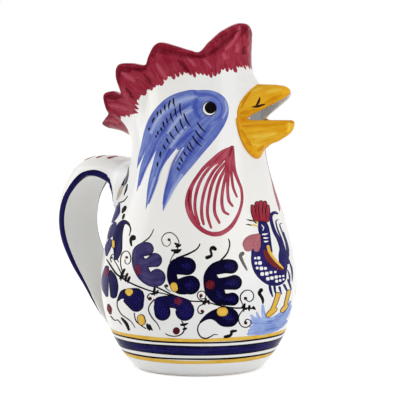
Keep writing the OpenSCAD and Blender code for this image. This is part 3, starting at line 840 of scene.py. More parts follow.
# share of the comb's height, and of the stroke's half width there
comb_stroke_shares = [(0.35, 1), (0.7, 0.9), (0.85, 0.4)]
comb_lean, least_lean, lean_from, lean_to = 0.62, 0.15, 14, 42
rim_line_down, rim_line_step = 2.9, 2.5
rim_line_half, rim_line_swell, rim_line_wave = 2, 0.8, 0.9
comb_rng = np.random.default_rng(comb_stroke_seed)
comb_deep_px = [
    [(203, 56, 3), (212, 52, 5), (221, 45, 6), (230, 37, 4.6), (237, 30.5, 2.2)],
    [(160, 52, 2.5), (169, 53, 4), (180, 54.6, 4.4), (192, 56, 4), (203, 56.4, 3)],
    [(178, 60, 2), (184, 66, 4), (189, 72, 2.4)],
    [(243.4, 47, 2), (244, 53, 4), (244.4, 59, 2)],
    [(247, 27, 1.6), (243, 32.6, 3), (240, 37, 1.6)],
    [(145, 75, 2), (149, 80, 3.6), (152, 85, 2)],
    [(121, 68.4, 1.6), (131, 68.6, 2.6), (142, 68.6, 2.6)],
    [(126, 88, 2), (130, 93, 3.4), (133, 98, 2)],
    [(107, 97, 1.6), (114, 98, 3.2), (121, 97, 2)]]
# Paler patches on the comb: some where the wash ran thin, some painted sheen where a lobe's glaze catches
# the light.
comb_thin_and_sheen_px = [
    [(157, 64, 2.5), (161.6, 71.4, 4), (166.4, 78, 2.4)],
    [(122.6, 73, 2.6), (128, 76.6, 5), (134, 81, 2.6)],
    [(223, 54, 2.6), (226.4, 60.4, 5), (230, 66, 3)],
    [(226, 49, 1.8), (231, 44, 3.6), (235.4, 38, 2)],
    [(110, 105, 2.4), (118, 106.6, 4.6), (127, 109, 2.6)],
    [(105, 121.4, 1.6), (110.6, 120, 3.4), (118, 123, 2)],
    [(248.4, 27, 1), (249.2, 33, 1.6), (249.4, 40, 1)],
    [(237, 44, 1.6), (236.6, 53, 3), (237, 62, 1.8)],
    [(248, 46, 1), (248.2, 54, 2), (248.2, 62, 1.2)],
    [(187, 57, 1.4), (191.6, 61.4, 2.6), (195.4, 66, 1.4)],
    [(204.6, 60, 1.4), (208.6, 64, 2.6), (211, 68, 1.4)]]
comb_wash = brushed("comb_wash", comb_pink, comb_red, comb_dark, streaks=0.7, length=0.09, cover=0.02,
                    edge=0.3)
comb_deep = brushed("comb_deep", (0.190, 0.008, 0.020, 1), (0.120, 0.003, 0.011, 1), comb_dark, streaks=0.5,
                    length=0.05, cover=0.08, edge=0, soft=1)
comb_thin_and_sheen = brushed("comb_thin_and_sheen", (0.52, 0.11, 0.16, 1), (0.42, 0.065, 0.100, 1), comb_pink, streaks=0.5,
                     length=0.05, cover=0.08, edge=0, soft=1)
comb_line = brushed("comb_line", comb_red, comb_dark, comb_red, streaks=0.5, length=0.12, edge=0.4,
                    crisp=2, soft=0.9)


def on_head(places):
    """Places as millimetres round the head and millimetres below the comb's lower edge."""
    angle = np.degrees(places[..., 0] / head_girth_r)
    curve = upright(angle)
    length = np.linalg.norm(curve[3] - curve[0], axis=-1)
    t = np.minimum(comb_start(curve, angle) - places[..., 1] / 1000 / length, 1 - rim_r / length)
    step = 0.004
    up = turn(skin(curve, angle, t + step, 0 * t), angle) - turn(skin(curve, angle, t - step, 0 * t), angle)
    a = np.radians(angle)
    normals = np.cross(np.stack([-np.sin(a), np.cos(a), 0 * a], -1), up)
    points = with_brow(turn(skin(curve, angle, t, 0 * t), angle))
    return points, normals / np.linalg.norm(normals, axis=-1, keepdims=True)


def comb_height(x):
    """Millimetres from the comb's lower edge up to its rim, x millimetres round the head."""
    angle = np.degrees(x / head_girth_r)
    curve = upright(angle)
    return (1 - comb_start(curve, angle)) * np.linalg.norm(curve[3] - curve[0], axis=-1) * 1000


half_girth = math.pi * head_girth_r
comb_strokes = []
for k, x in enumerate(np.arange(0, half_girth, comb_stroke_step)):
    reach, half = comb_rng.uniform(*tongue_reach), comb_rng.uniform(*comb_stroke_half)
    high = comb_height(x)
    lean = comb_lean * np.clip((x - lean_from) / (lean_to - lean_from), least_lean, 1) * high
    tip = (x + tongue_tip[0], reach + tongue_tip[1], tongue_tip[2])
    marks = [tip, (x, reach + tongue_root, half * root_half_share)]
    marks += [(x + lean * up, -up * high, half * share) for up, share in comb_stroke_shares]
    comb_strokes.append(stroke(marks, on_head, layer=k % comb_layers, step=0.9))
paint("comb_strokes", comb_strokes, comb_wash)
rim_x = np.arange(0, half_girth, rim_line_step)
rim_half = rim_line_half + rim_line_swell * np.sin(rim_x * rim_line_wave)
rim_line = np.stack([rim_x, rim_line_down - comb_height(rim_x), rim_half], -1)
paint("comb_rim_line", [stroke(rim_line, on_head, layer=5)], comb_line)

# Cheek feathers: four long strokes of thin cobalt that start round the eye and sweep back to a point,
# with darker wet streaks in them, fine black hatching across, and a black and white eye.
feather_px = [
    [(201, 96, 5), (190, 96, 6), (172, 103, 7), (158, 117, 7), (150, 131, 5.5), (144, 147, 3.2),
     (140.3, 157.5, 2), (137, 168.7, 0)],
    [(206, 103, 8), (195, 104, 9), (178, 112, 9), (166, 124, 8.5), (157, 137, 7), (150, 152, 4.5),
     (143, 169, 3), (136.6, 192, 0)],
    [(208, 110, 9), (200, 114, 10), (187, 123, 10), (175, 136, 9.5), (165, 150, 8), (157, 167, 5),
     (151, 187, 3.3), (145.6, 210, 0)],
    [(200, 96, 6), (211, 96, 5.5), (219.5, 101, 6), (222, 110, 6.8), (217.5, 120, 8.5), (208, 132, 10),
     (196, 147, 9.5), (183, 165, 8), (173, 181, 5.5), (166.5, 197, 3.3), (162.9, 211.7, 0)]]
feather_join_px = [[(204, 121, 4), (195, 130, 5), (185, 142, 4), (178, 149, 1.2)]]
feather_deep_px = [
    [(194, 92.4, 1.2), (199, 94.6, 2.8), (207, 94.6, 2.4), (214, 96.4, 1.4), (219.5, 101, 0.8)],
    [(196.4, 99, 2.6), (194.6, 105, 3.6), (196, 112, 3.4), (200, 118, 2.4)],
    [(220.5, 103, 0.5), (221.8, 109, 1), (219.5, 116, 1), (215, 120.5, 0.5)],
    [(176.5, 145.5, 1.8), (181, 140.5, 3), (187, 136, 2.2), (193, 131, 1)],
    [(168, 124, 1.2), (158, 140, 2.2), (151, 157, 1.8), (145, 170, 1.3), (139.5, 185, 0.6)],
    [(170, 150, 1.2), (161, 168, 1.6), (156, 184, 1.3), (149, 203, 0.6)],
    [(181, 149, 1.4), (173, 164, 1.8), (167.5, 183, 1.4), (163.5, 204, 0.6)],
    [(190, 105, 0.6), (175, 114, 1.3), (164, 126, 1.3), (157, 136, 0.7)],
    [(209, 126, 2.6), (200, 140, 3.4), (189, 155, 3), (180, 170, 1.6)]]
feather_pale_px = [
    [(197, 97, 2.5), (188, 98.5, 4.6), (176, 103, 5.2), (165, 111, 4.6), (157, 121, 3.6),
     (151, 133, 2.4)],
    [(192, 110, 3), (183, 115, 4.6), (175, 123, 4), (168, 133, 2.4)],
    [(186, 127, 2), (178, 137, 3), (171, 147, 2)],
    [(182, 175, 2.4), (174, 188, 3), (168.5, 199, 2), (165, 207, 0.8)],
    [(154.5, 178, 2), (150.5, 192, 2), (147.5, 203, 1.2)],
    [(225, 101, 1.2), (226.5, 110, 1.8), (223, 118, 1.4)]]
hatch_px = [
    (173.6, 98.5, 174.9, 106.7), (170.2, 100.7, 168.9, 109.3), (165, 105.4, 165.5, 111),
    (160.7, 110, 161.6, 114.4), (158, 112, 157.7, 116.6), (154.7, 118, 152.5, 123),
    (149.5, 128, 149, 130.4), (180, 104, 181.8, 116), (175.4, 109, 177, 117), (170.6, 113.6, 173.6, 122),
    (166.7, 118.7, 168.5, 124), (163.3, 122, 165, 127.8), (161, 128, 162.4, 130.8),
    (157.7, 131.7, 159, 135), (156, 136, 156.8, 137.7), (184, 114, 191.3, 127), (180, 119.6, 184.8, 130),
    (175.4, 126.5, 179.7, 134), (170, 132.5, 175, 139.4), (166.7, 138.5, 169.8, 144),
    (163.7, 145.4, 166, 149.7), (161, 152, 160.3, 158), (157.7, 162.7, 158, 167),
    (197.7, 123, 206, 132.5), (195.6, 130.8, 204.6, 140.3), (192.6, 136.4, 201.6, 146.7),
    (189.6, 142.4, 194.3, 150), (187.4, 146.7, 191.7, 152), (184, 152, 187.4, 156.6),
    (181, 157.5, 183.5, 162.7), (178.8, 162.7, 181.4, 165), (177.5, 167.8, 179.7, 170.8)]
hatch_half_px, hatch_bow = 0.85, -0.07
tick_start_share, tick_end_share = 0.8, 0.3
over_layer = 0.2
deep_wider = 1
eye_px, eye_halo_r, eye_r, eye_white_r = (209.4, 108.8), 7.9, 7.3, 6.6
pupil_px, pupil_r = (210.5, 107.9), 5.9
feather_mid = (0.086, 0.126, 0.43, 1)
feather_blue = brushed("feather_blue", (0.25, 0.32, 0.61, 1), feather_mid, (0.066, 0.095, 0.40, 1),
                       streaks=0.8, length=0.05, cover=0.06, edge=0.55)
feather_deep = brushed("feather_deep", feather_mid, (0.052, 0.076, 0.38, 1), feather_mid, streaks=0.9,
                       length=0.06, cover=0.1, edge=0, soft=1)
feather_pale = brushed("feather_pale", (0.48, 0.54, 0.74, 1), (0.32, 0.39, 0.66, 1), feather_mid,
                       streaks=0.9, length=0.06, cover=0.06, edge=0, soft=1)
eye_white = brushed("eye_white", white_warm, white_cool, white_cool)
on_pot = seen_on(belly_wall, head)


def brush_strokes(lines, layer=0, place=on_pot, wider=0.0, corner=1.0, dense=1):
    """Strokes that overlap are laid one over the other, each a little higher than the last."""
    made = []
    for k, line in enumerate(lines):
        marks = [(x, y, half + wider) for x, y, half in line]
        made.append(stroke(marks, place, layer + over_layer * k, px_mm, corner=corner, dense=dense))
    return made


def ticks(segments, half, layer=0, place=on_pot):
    """Short marks from one pixel to another, pressed at the start and lifted off at the end."""
    lines = []
    for x, y, x2, y2 in segments:
        middle = ((x + x2) / 2 + (y2 - y) * hatch_bow, (y + y2) / 2 - (x2 - x) * hatch_bow, half)
        lines.append([(x, y, half * tick_start_share), middle, (x2, y2, half * tick_end_share)])
    return [stroke(line, place, layer, px_mm) for line in lines]


paint("feathers_blue", brush_strokes(feather_px + feather_join_px), feather_blue)
paint("feathers_pale", brush_strokes(feather_pale_px, 2), feather_pale)
paint("feathers_deep", brush_strokes(feather_deep_px, 4, wider=deep_wider), feather_deep)
paint("feathers_hatching", ticks(hatch_px, hatch_half_px, 7), black_paint)
paint("eye_halo", brush_strokes([[(*eye_px, eye_halo_r)]], 7), feather_pale)
paint("eye_line", brush_strokes([[(*eye_px, eye_r)]], 8), black_paint)
paint("eye_white", brush_strokes([[(*eye_px, eye_white_r)]], 9), eye_white)
paint("eye_pupil", brush_strokes([[(*pupil_px, pupil_r)]], 10), black_paint)

# Wattle: a crimson loop that hangs from the corner of the beak, filled with a fan of single strokes.
# The colour is thin in the middle of each stroke and pools along one side.
wattle_loop_px = [
    (232.5, 147, 1.4), (222, 153, 2.6), (212, 161, 2.4), (203.5, 168.5, 1.9), (196.8, 177.5, 1.8),
    (192.4, 184.8, 2), (189.6, 192.3, 2.7), (188.3, 202, 3.4), (189.3, 210.2, 3.3), (192.3, 218.3, 3),
    (196.8, 224.8, 2.6), (202.4, 230, 2.3), (208.8, 233.2, 2.2), (215.1, 234.2, 2.4), (222.3, 232.8, 2.3),
    (230, 227.5, 2.1), (235.5, 220, 1.8), (239.6, 211, 1.5), (241.7, 202.6, 1.4), (242, 195.6, 1.4),
    (241, 188.3, 1.4), (238, 180.6, 1.5), (234.5, 171, 1.8), (233, 160, 2), (232.8, 149, 1.5)]
wattle_wedge_px = [
    [(231.8, 147.5, 2), (230, 154, 3.8), (228.5, 162, 3.6), (229.5, 170, 2)],
    [(231.8, 147.6, 1.5), (226, 153.6, 3.4), (219.6, 159.6, 2.8), (213.6, 164.6, 1.2)]]
wattle_edge_px = [
    (270.4, 171, 0.3), (272.4, 180, 1), (274.8, 190, 1.4), (277.2, 200, 1.2), (279.6, 210.6, 0.4)]
wattle_deep_px = [
    [(231.8, 146.6, 1.2), (230.4, 151, 2.2), (229, 157, 1)],
    [(190, 190, 0.8), (188.6, 200, 1.8), (190, 211, 0.8)]]
wattle_fan_px = [
    [(220, 160.5, 0.6), (211, 166.6, 1.5), (203, 176.4, 1.6), (198, 187, 1.7), (195.4, 198, 1.6),
     (195, 208.7, 1.6), (196.8, 217.8, 1.6), (199.3, 224, 1.2)],
    [(224.6, 159.5, 0.6), (220, 164, 1.4), (213, 172, 1.6), (206.6, 184.4, 1.7), (203, 197, 1.6),
     (201.6, 208, 1.6), (202, 217, 1.7), (203.6, 224, 1.3)],
    [(228, 160, 0.8), (223.5, 165, 1.5), (216.5, 174.3, 1.7), (211.6, 185.5, 1.7), (208.8, 198, 1.6),
     (207.4, 209.4, 1.6), (208, 217.8, 1.6), (211, 227.6, 1.2)],
    [(228, 163, 1), (225, 169, 1.6), (219.3, 180.6, 1.7), (215.8, 194.6, 1.6), (214.4, 205, 1.6),
     (215, 213.6, 1.6), (219.3, 222.7, 1.3)],
    [(229, 165, 1), (226.3, 174, 1.6), (223.5, 185.5, 1.6), (222, 196, 1.6), (222, 204.5, 1.6),
     (224, 211.5, 1.5), (228.4, 214.3, 1.1)],
    [(230, 165, 1), (228.4, 173, 1.6), (227.7, 184, 1.6), (227.7, 192.5, 1.5), (229, 201, 1.5),
     (232.6, 206, 1.1)],
    [(231, 164, 1), (231.2, 171.5, 1.4), (232, 180, 1.4), (233.3, 188, 1.3), (236.8, 196.8, 1)]]
wattle_paint = brushed("wattle_crimson", (0.50, 0.120, 0.160, 1), (0.33, 0.026, 0.055, 1),
                       (0.20, 0.006, 0.020, 1), streaks=1.1, length=0.05, cover=0.05, edge=0.7)
paint("wattles", brush_strokes(wattle_fan_px + [wattle_loop_px] + wattle_wedge_px), wattle_paint)
paint("wattles_deep", brush_strokes(wattle_deep_px, 5), comb_deep)
paint("wattle_far_edge", brush_strokes([wattle_edge_px], 3), wattle_paint, mirrored=False)

# Comb and beak again: longer tongues at the back, patches where the wash pooled dark, and pale patches
# that are partly thin wash and partly painted sheen on the comb's lobes, soft at their borders. The beak's
# yellow deepens along the root and the lips, and pales in patches: paler strokes, and painted highlights at
# the tips.
comb_tongue_px = [
    [(116, 103, 2.4), (126, 107.4, 3), (134, 111.4, 2), (138, 113, 0.4)],
    [(120, 100, 2.4), (130, 104.2, 2.8), (136, 107.8, 1.6), (138.6, 109, 0.4)],
    [(124, 96, 2.4), (132, 100, 2.6), (136.6, 103.4, 1.4), (138.8, 104.6, 0.4)],
    [(128, 90, 2.6), (134.6, 94.6, 2.6), (138.4, 98.6, 1), (139.2, 100, 0.3)],
    [(112, 108, 2), (121, 111.6, 2.4), (129, 113.4, 1.4), (134, 113.6, 0.4)],
    [(134, 86, 2.4), (139.6, 90.6, 2.2), (142, 94, 0.5)],
    [(140, 82, 2.4), (145, 87, 1.8), (147, 90.4, 0.5)]]
beak_deep_px = [
    [(241, 113, 1.6), (247, 112.4, 3.4), (255, 109.4, 1.6)],
    [(266, 102.4, 1.6), (274, 98.6, 3.4), (282, 95, 1.8)],
    [(241.6, 108, 1.4), (244.6, 100.4, 3), (250, 93, 1.4)],
    [(242.6, 126.4, 1.6), (256, 125.6, 2.8), (271, 125, 2.8), (285, 124.4, 1.4)],
    [(241.4, 130, 1.8), (246, 138, 3.6), (251, 146, 2)],
    [(258, 151, 1.6), (261, 148.4, 2.6), (263, 146, 1.4)]]
# Pale patches on the beak: paler strokes, and painted highlights at the lower beak's tip and on the upper
# beak's top.
beak_pale_and_highlight_px = [
    [(289, 123.6, 2), (289.6, 127, 3.4), (288, 131, 2)],
    [(252, 136.6, 2.4), (262, 136.4, 5), (275, 133.6, 3)],
    [(254, 144, 2), (258, 145, 3.2), (261, 144.6, 1.6)],
    [(252.6, 92, 1.6), (257, 89.4, 3.2), (262, 88.4, 1.6)],
    [(267, 92, 1.8), (274, 90.4, 3.4), (281, 89.6, 1.8)]]
beak_deep_wash = brushed("beak_deep", (0.68, 0.30, 0.004, 1), (0.60, 0.23, 0.003, 1), beak_deep,
                         streaks=0.5, length=0.05, cover=0.1, edge=0, soft=1)
beak_pale_and_highlight_wash = brushed("beak_pale", (0.88, 0.60, 0.10, 1), (0.82, 0.53, 0.055, 1), beak_pale, streaks=0.5,
                         length=0.05, cover=0.1, edge=0, soft=1)
on_comb, on_beak = seen_on(comb, head), seen_on(upper_beak, lower_beak)
paint("comb_back_tongues", brush_strokes(comb_tongue_px, 3, on_comb), comb_wash)
# Pale patches on the comb: thin wash in places, painted sheen on the lobes in others.
paint("comb_thin_and_sheen_patches", brush_strokes(comb_thin_and_sheen_px, 5, on_comb), comb_thin_and_sheen)
paint("comb_deep_patches", brush_strokes(comb_deep_px, 9, on_comb), comb_deep)
paint("beak_deep_patches", brush_strokes(beak_deep_px, 1, on_beak), beak_deep_wash)
# Paler strokes and painted highlights on the beak.
paint("beak_pale_and_highlight_patches", brush_strokes(beak_pale_and_highlight_px, 4, on_beak), beak_pale_and_highlight_wash)

# Nostril: two quick marks of brown liner on each side of the upper beak, drawn with the tip of a fine
# brush over the dry yellow.
nostril_px = [
    [(252.6, 107, 0.6), (257.5, 106.4, 1.25), (264.4, 104.3, 0.7)],
    [(256.6, 105.2, 0.8), (258.8, 101.6, 1.2), (260, 97.6, 0.5)]]
brown_paint = brushed("brown_liner", (0.060, 0.016, 0.010, 1), (0.018, 0.004, 0.003, 1),
                      (0.012, 0.003, 0.003, 1))
paint("nostrils", brush_strokes(nostril_px, 7, on_beak), brown_paint)

# Leaf scroll round the belly: dark cobalt leaves filled inside a black line, on thin stems with curled
# tendrils, brushed ticks, and spots of yellow and red glaze where a leaf meets its stem.
leaf_line_px, spot_line_px, bud_line_px = 0.7, 0.6, 0.5
loose_wider, red_wider = 0.4, 0.6
lobe_start_share, lobe_end_share = 0.4, 0.85
edge_dense = 3
scroll_turn = math.radians(10)
leaf_px = [
    [[(144, 245, 2.6), (138.5, 250.5, 4.3), (136.8, 258.5, 4.2), (138.3, 267, 4.5), (143.5, 275.5, 5),
      (150, 281, 4.5), (155, 284, 3)],
     [(140.6, 251.5, 4.8), (146.8, 249, 6.4)],
     [(141, 259.6, 3.4), (143.6, 268.4, 4.2), (147, 274, 3.6)],
     [(141, 263.5, 4), (148, 262.8, 4.1), (154.8, 260.2, 6.7)],
     [(144, 275, 5), (150, 278, 6), (156.8, 277.7, 8.3)]],
    [[(181, 260.2, 3.5), (173.8, 265.8, 4.2), (172, 273.5, 4.4), (173.3, 281.2, 4.6), (178.9, 288.2, 4.9),
      (184.6, 290.5, 3.5)],
     [(177, 266.5, 7.4), (183.1, 266, 8.3), (187.2, 266.3, 8.3)],
     [(180, 286, 6.8), (186.5, 285.2, 8.4), (190.6, 285, 8.9)]],
    [[(221.7, 262.5, 2.3), (214, 268, 4.2), (209.3, 275.6, 4.7), (208.6, 283.3, 4.5), (211.2, 291.5, 5.4),
      (217.5, 298, 5.4), (224.5, 301.5, 3.5)],
     [(211.6, 273, 3.4), (213.4, 283.5, 6.8), (217.4, 291, 6.4), (219.5, 296.4, 6)],
     [(217.5, 268.8, 5.2), (225.2, 266.4, 6.4), (231, 266.6, 6.5)],
     [(216.1, 284.2, 5.2), (226, 283.4, 5.7), (234.4, 282.4, 6.9)],
     [(217.1, 297.4, 5.4), (225.2, 299.3, 5.2), (232.3, 299.1, 6)]],
    [[(200.6, 322, 0.4), (205, 318.2, 1.4), (210.6, 315.6, 3.2), (217, 315.2, 6.2), (223.8, 316.8, 8.9),
      (229.2, 317.4, 8.9)]],
    [[(118.4, 300, 0.5), (120.4, 297.2, 1.8), (125, 294.6, 5.2), (131, 298.8, 6.8), (136.4, 304.4, 6.8)],
     [(130, 294.6, 5.6), (137.6, 294.6, 5.6), (137, 301.6, 6.4)]],
    [[(160, 302.4, 5.2), (168, 301.6, 5.6), (176, 302.2, 5.8), (185, 305.6, 6.4)],
     [(161.6, 307, 7.2), (162.6, 312.6, 7.4)],
     [(181, 304, 6), (184.6, 309, 8.6), (184.8, 311.4, 8.8)]]]
edge_leaf_px = [
    [[(129, 224.6, 0.5), (126.6, 222.6, 1.2), (123.4, 222.6, 2), (120.4, 226.6, 3), (118.2, 234, 3.9),
      (117.6, 243, 4.2), (117.8, 250.5, 3.6), (116.2, 258, 1.6)]],
    [[(110.6, 271.6, 1), (112.8, 278, 3.2), (114, 287, 3.8), (113.8, 295, 2.8)]]]
thin_leaf_px = [
    [(119.4, 204, 0.8), (116.4, 212, 3.7), (112.8, 221.4, 1.4)],
    [(115.2, 223.4, 1.5), (112, 231, 4.1), (109, 238.2, 1.4)],
    [(110.2, 240.4, 1.7), (108.2, 247, 3), (106.8, 255.2, 1)],
    [(107, 267.6, 2.2), (105.4, 278, 3.5), (105.4, 288, 3.3), (107, 295.6, 1.4)]]
stem_px = [
    [(106.9, 259.7, 0.6), (110.2, 264.8, 0.8), (115.7, 273, 0.9), (121.3, 277.4, 0.9), (130.6, 283, 0.8),
     (140.8, 287.4, 0.8), (151, 291, 0.7), (163, 293.5, 0.6), (172, 295.7, 0.6)],
    [(155.5, 286.5, 0.8), (163.8, 290.6, 0.8), (171.4, 294.4, 0.8), (177.5, 296.6, 0.8),
     (190, 300.8, 0.7), (202, 301.5, 0.7), (209, 302.6, 0.7), (219.6, 305.6, 0.7), (233.7, 307.9, 0.8),
     (242.8, 308, 0.8), (254.7, 308.4, 0.8)],
    [(143.4, 242.1, 0.7), (148.5, 238.3, 0.6), (151.7, 233.8, 0.5), (153.6, 229.4, 0.4)],
    [(176.8, 258.3, 0.9), (186.7, 254.6, 1), (195.1, 250.3, 0.8), (198.6, 246.8, 0.7),
     (199.8, 244.2, 0.7)],
    [(220.5, 260.8, 1), (226.6, 253.9, 0.8), (229.2, 247.5, 0.7), (229.6, 242.6, 0.7),
     (228.5, 239.3, 0.6)],
    [(117.5, 300.3, 0.6), (117.2, 305, 0.5), (118.4, 309.2, 0.5), (121.6, 314.4, 0.5),
     (127.4, 318.6, 0.5), (131.9, 322.5, 0.4), (135.1, 327.6, 0.3)],
    [(154.2, 299.5, 0.7), (149.6, 305.3, 0.6), (148.8, 311, 0.6), (152.3, 317.8, 0.6),
     (157.4, 323.8, 0.5), (160, 329.5, 0.4)],
    [(201.4, 321, 0.6), (198.2, 326.1, 0.7), (197.9, 331.7, 0.7), (200.7, 336.6, 0.7),
     (205.6, 338.4, 0.7), (210.5, 336.6, 0.6), (214, 334.5, 0.5), (217.5, 334.7, 0.3)],
    [(134.4, 313, 0.5), (134.8, 316.7, 0.5), (136.4, 321.2, 0.6), (140.8, 325.2, 0.5),
     (145.9, 328.5, 0.5)],
    [(181.7, 321, 0.6), (184.2, 326, 0.6), (183.6, 331.6, 0.7), (179.6, 335.2, 0.6), (174, 336.2, 0.5),
     (168.4, 335.2, 0.5), (165.6, 333.6, 0.4)],
    [(129.3, 235.6, 0.4), (130.8, 229, 0.7), (128.6, 224.2, 0.9)],
    [(113.6, 259, 0.4), (118.4, 267.4, 0.5), (122.4, 276, 0.6)],
    [(110.8, 316.1, 0.5), (114.7, 320.2, 0.5), (117.9, 320, 0.5), (121.7, 324.4, 0.3)]]
tendril_px = [
    [(169.8, 262.3, 0.4), (171.9, 257.4, 0.4), (174.7, 253.1, 0.5), (178, 247.5, 0.5),
     (178.9, 241.9, 0.5), (176.1, 236.3, 0.5), (171.2, 232.8, 0.5), (165.6, 233.5, 0.45),
     (162.1, 237.7, 0.4), (162.1, 241.9, 0.4), (164.2, 245.4, 0.4), (167.7, 246.3, 0.35),
     (170.3, 243.8, 0.35), (170.2, 240.8, 0.4)],
    [(123.4, 274, 0.5), (121, 266, 0.5), (120.7, 259.3, 0.5), (122.3, 253.6, 0.5), (126.1, 251, 0.5),
     (129.3, 253, 0.5), (130.9, 258.1, 0.5), (130, 262.5, 0.45), (127.4, 264.2, 0.4), (125.2, 262.5, 0.4),
     (125.2, 259.6, 0.4)],
    [(154, 293.6, 0.5), (149.5, 293.9, 0.6), (147.5, 297.2, 0.6), (149.4, 300, 0.6)],
    [(170.5, 291.5, 0.4), (166.2, 288.4, 0.45), (164.6, 285.6, 0.5), (166.8, 284.6, 0.5)],
    [(204.4, 301.5, 0.5), (199.3, 299.3, 0.55), (197.2, 295.4, 0.6), (199, 292, 0.6), (203, 291.2, 0.55),
     (205.8, 294.4, 0.5), (205, 298, 0.5), (201.8, 299, 0.5), (199.8, 297, 0.45)],
    [(204.9, 303.7, 0.5), (199.6, 305.8, 0.55), (197.7, 309.3, 0.6), (198.8, 312.8, 0.6),
     (202.1, 313.6, 0.6), (203.8, 311.4, 0.6)],
    [(243.2, 305.6, 0.5), (240.3, 298.7, 0.6), (241.3, 293.8, 0.6), (245.8, 290.3, 0.55),
     (250.7, 290.8, 0.5), (253.6, 294.8, 0.5), (252.5, 299.7, 0.5), (248.7, 301.5, 0.5),
     (245.6, 299.4, 0.5)],
    [(243, 310, 0.5), (239, 315.5, 0.55), (238.8, 321.5, 0.6), (241.8, 326.2, 0.55), (246.7, 327.2, 0.5),
     (250.6, 324.4, 0.5), (250.4, 320.6, 0.5), (246.9, 319.2, 0.5), (244.8, 321.2, 0.5)],
    [(118.6, 262, 0.4), (115.6, 256, 0.4), (112.6, 254.4, 0.4), (110.4, 258.6, 0.4), (111.6, 262, 0.4)]]
tendril_dots_px = [
    (169.1, 239.8, 1.5), (126.8, 257.4, 1.4), (150.1, 298.6, 1.9), (166.9, 286, 1.5), (201, 295.6, 1.8),
    (202.2, 311.2, 1.7), (245.4, 298.4, 1.7), (245.5, 322.8, 1.7), (111.8, 257.8, 1.1), (176.4, 330.8, 3.6)]
loose_mark_px = [
    [(215, 249, 1.5), (212.6, 247.6, 1.7), (210.6, 250, 1), (211.4, 253.4, 0.8), (211, 256, 1.2),
     (207, 257.6, 1.5)],
    [(261.2, 290, 1.5), (259.2, 293.2, 1.3), (261.2, 296.4, 1.2), (262.6, 299.4, 1.1), (262.9, 303, 0.5)],
    [(236, 330.8, 0.7), (231.6, 331.6, 1.3), (231.4, 334, 0.9), (229.4, 335.8, 1.2), (225, 336.8, 1.1)],
    [(132.4, 239.8, 0.4), (134.4, 239.2, 0.8), (134.6, 236.8, 1), (132.4, 236.8, 1.3),
     (130.8, 240.4, 1.1), (131.5, 245.5, 0.5)],
    [(125.3, 207.2, 1.2), (124, 209.6, 1.6), (122.4, 212.4, 0.5)],
    [(124.1, 214.6, 0.6), (123.4, 216.8, 0.8), (122.8, 218.8, 0.4)],
    [(121.8, 318.2, 0.6), (126.4, 323.6, 1.2), (128.9, 329.6, 0.8)]]
grey_mark_px = [
    [(242.4, 253.6, 2), (240.4, 256, 1.8), (242.2, 261, 1.5), (245, 266.4, 1.2), (246.9, 270, 0.7)]]
tick_px = [
    (124.6, 269.5, 121, 280.4), (127.4, 274, 125.5, 281.7), (129.7, 277.2, 128, 283),
    (120.4, 278.4, 124.4, 275.4), (154.8, 287.8, 154.8, 295.5), (152.2, 294, 157.6, 291.4),
    (157.8, 291, 156.8, 294.2), (206, 298.9, 204.9, 304.9), (203.2, 303.4, 207.4, 300.4),
    (208.6, 300.8, 209.2, 304.4), (244.6, 304.2, 243.7, 311.6), (242.4, 306.6, 246.6, 309.6),
    (249.4, 306, 249.1, 310.8), (253.2, 307, 255.4, 309.6), (175.4, 243.6, 181, 245.6),
    (176.6, 246.6, 181, 244.4), (172, 250.4, 181.4, 249.4), (174.6, 252.6, 180.8, 250.6),
    (181.2, 324.8, 188, 323.2), (183.6, 329, 187, 328), (147.2, 324.4, 150, 330.4),
    (149.4, 325.2, 152.6, 330.2)]
tick_half_px = 1.35
yellow_spot_px = [
    [(174, 285.8, 3.4), (174.8, 288.4, 3.2)],
    [(128.6, 291.8, 2.9), (130.6, 291.8, 2.9)],
    [(129.6, 293.2, 2.6)],
    [(221, 311.6, 4.3), (223.4, 311.4, 4.3)],
    [(141.2, 318, 3.3), (142.2, 321.4, 3.3)],
    [(113.9, 241.6, 1.2), (114, 246.6, 1.2)]]
red_spot_px = [
    [(137.6, 267, 3), (139, 272, 3.2)],
    [(210, 284.8, 5.2)],
    [(178.4, 301, 4.4)],
    [(107.6, 270.6, 2.6), (107.2, 275, 2)]]
bud_px = [[(108.6, 304.8, 0.6), (109.6, 309, 1.9), (110.6, 313.4, 0.6)]]
sprig_px = [
    [(128.4, 167, 0.3), (128, 173.6, 0.8), (125.6, 180.6, 1.8), (122.4, 186, 1.4), (120, 190, 0.6)],
    [(127.4, 184.6, 0.5), (126.2, 189.6, 1), (124, 195.4, 0.4)],
    [(127.6, 196.2, 0.4), (123.8, 201, 0.6), (118.6, 203, 0.5)]]
sprig_tan_px = [[(122, 186.6, 1.4), (119.8, 192.4, 1.7), (117, 199.6, 0.5)]]
cobalt_paint = brushed("cobalt_dark", (0.003, 0.0020, 0.032, 1), (0.001, 0.0007, 0.012, 1),
                       (0.001, 0.0007, 0.005, 1), streaks=0.35, length=0.12, edge=0.4)
cobalt_blue = brushed("cobalt_blue", (0.011, 0.008, 0.090, 1), (0.004, 0.003, 0.045, 1),
                      (0.001, 0.0007, 0.012, 1), streaks=0.35, length=0.12, edge=0.6)
cobalt_lobe = brushed("cobalt_lobe", (0.016, 0.012, 0.130, 1), (0.008, 0.006, 0.080, 1),
                      (0.008, 0.006, 0.080, 1), streaks=0.3, length=0.06, cover=0.2, edge=0, soft=1)
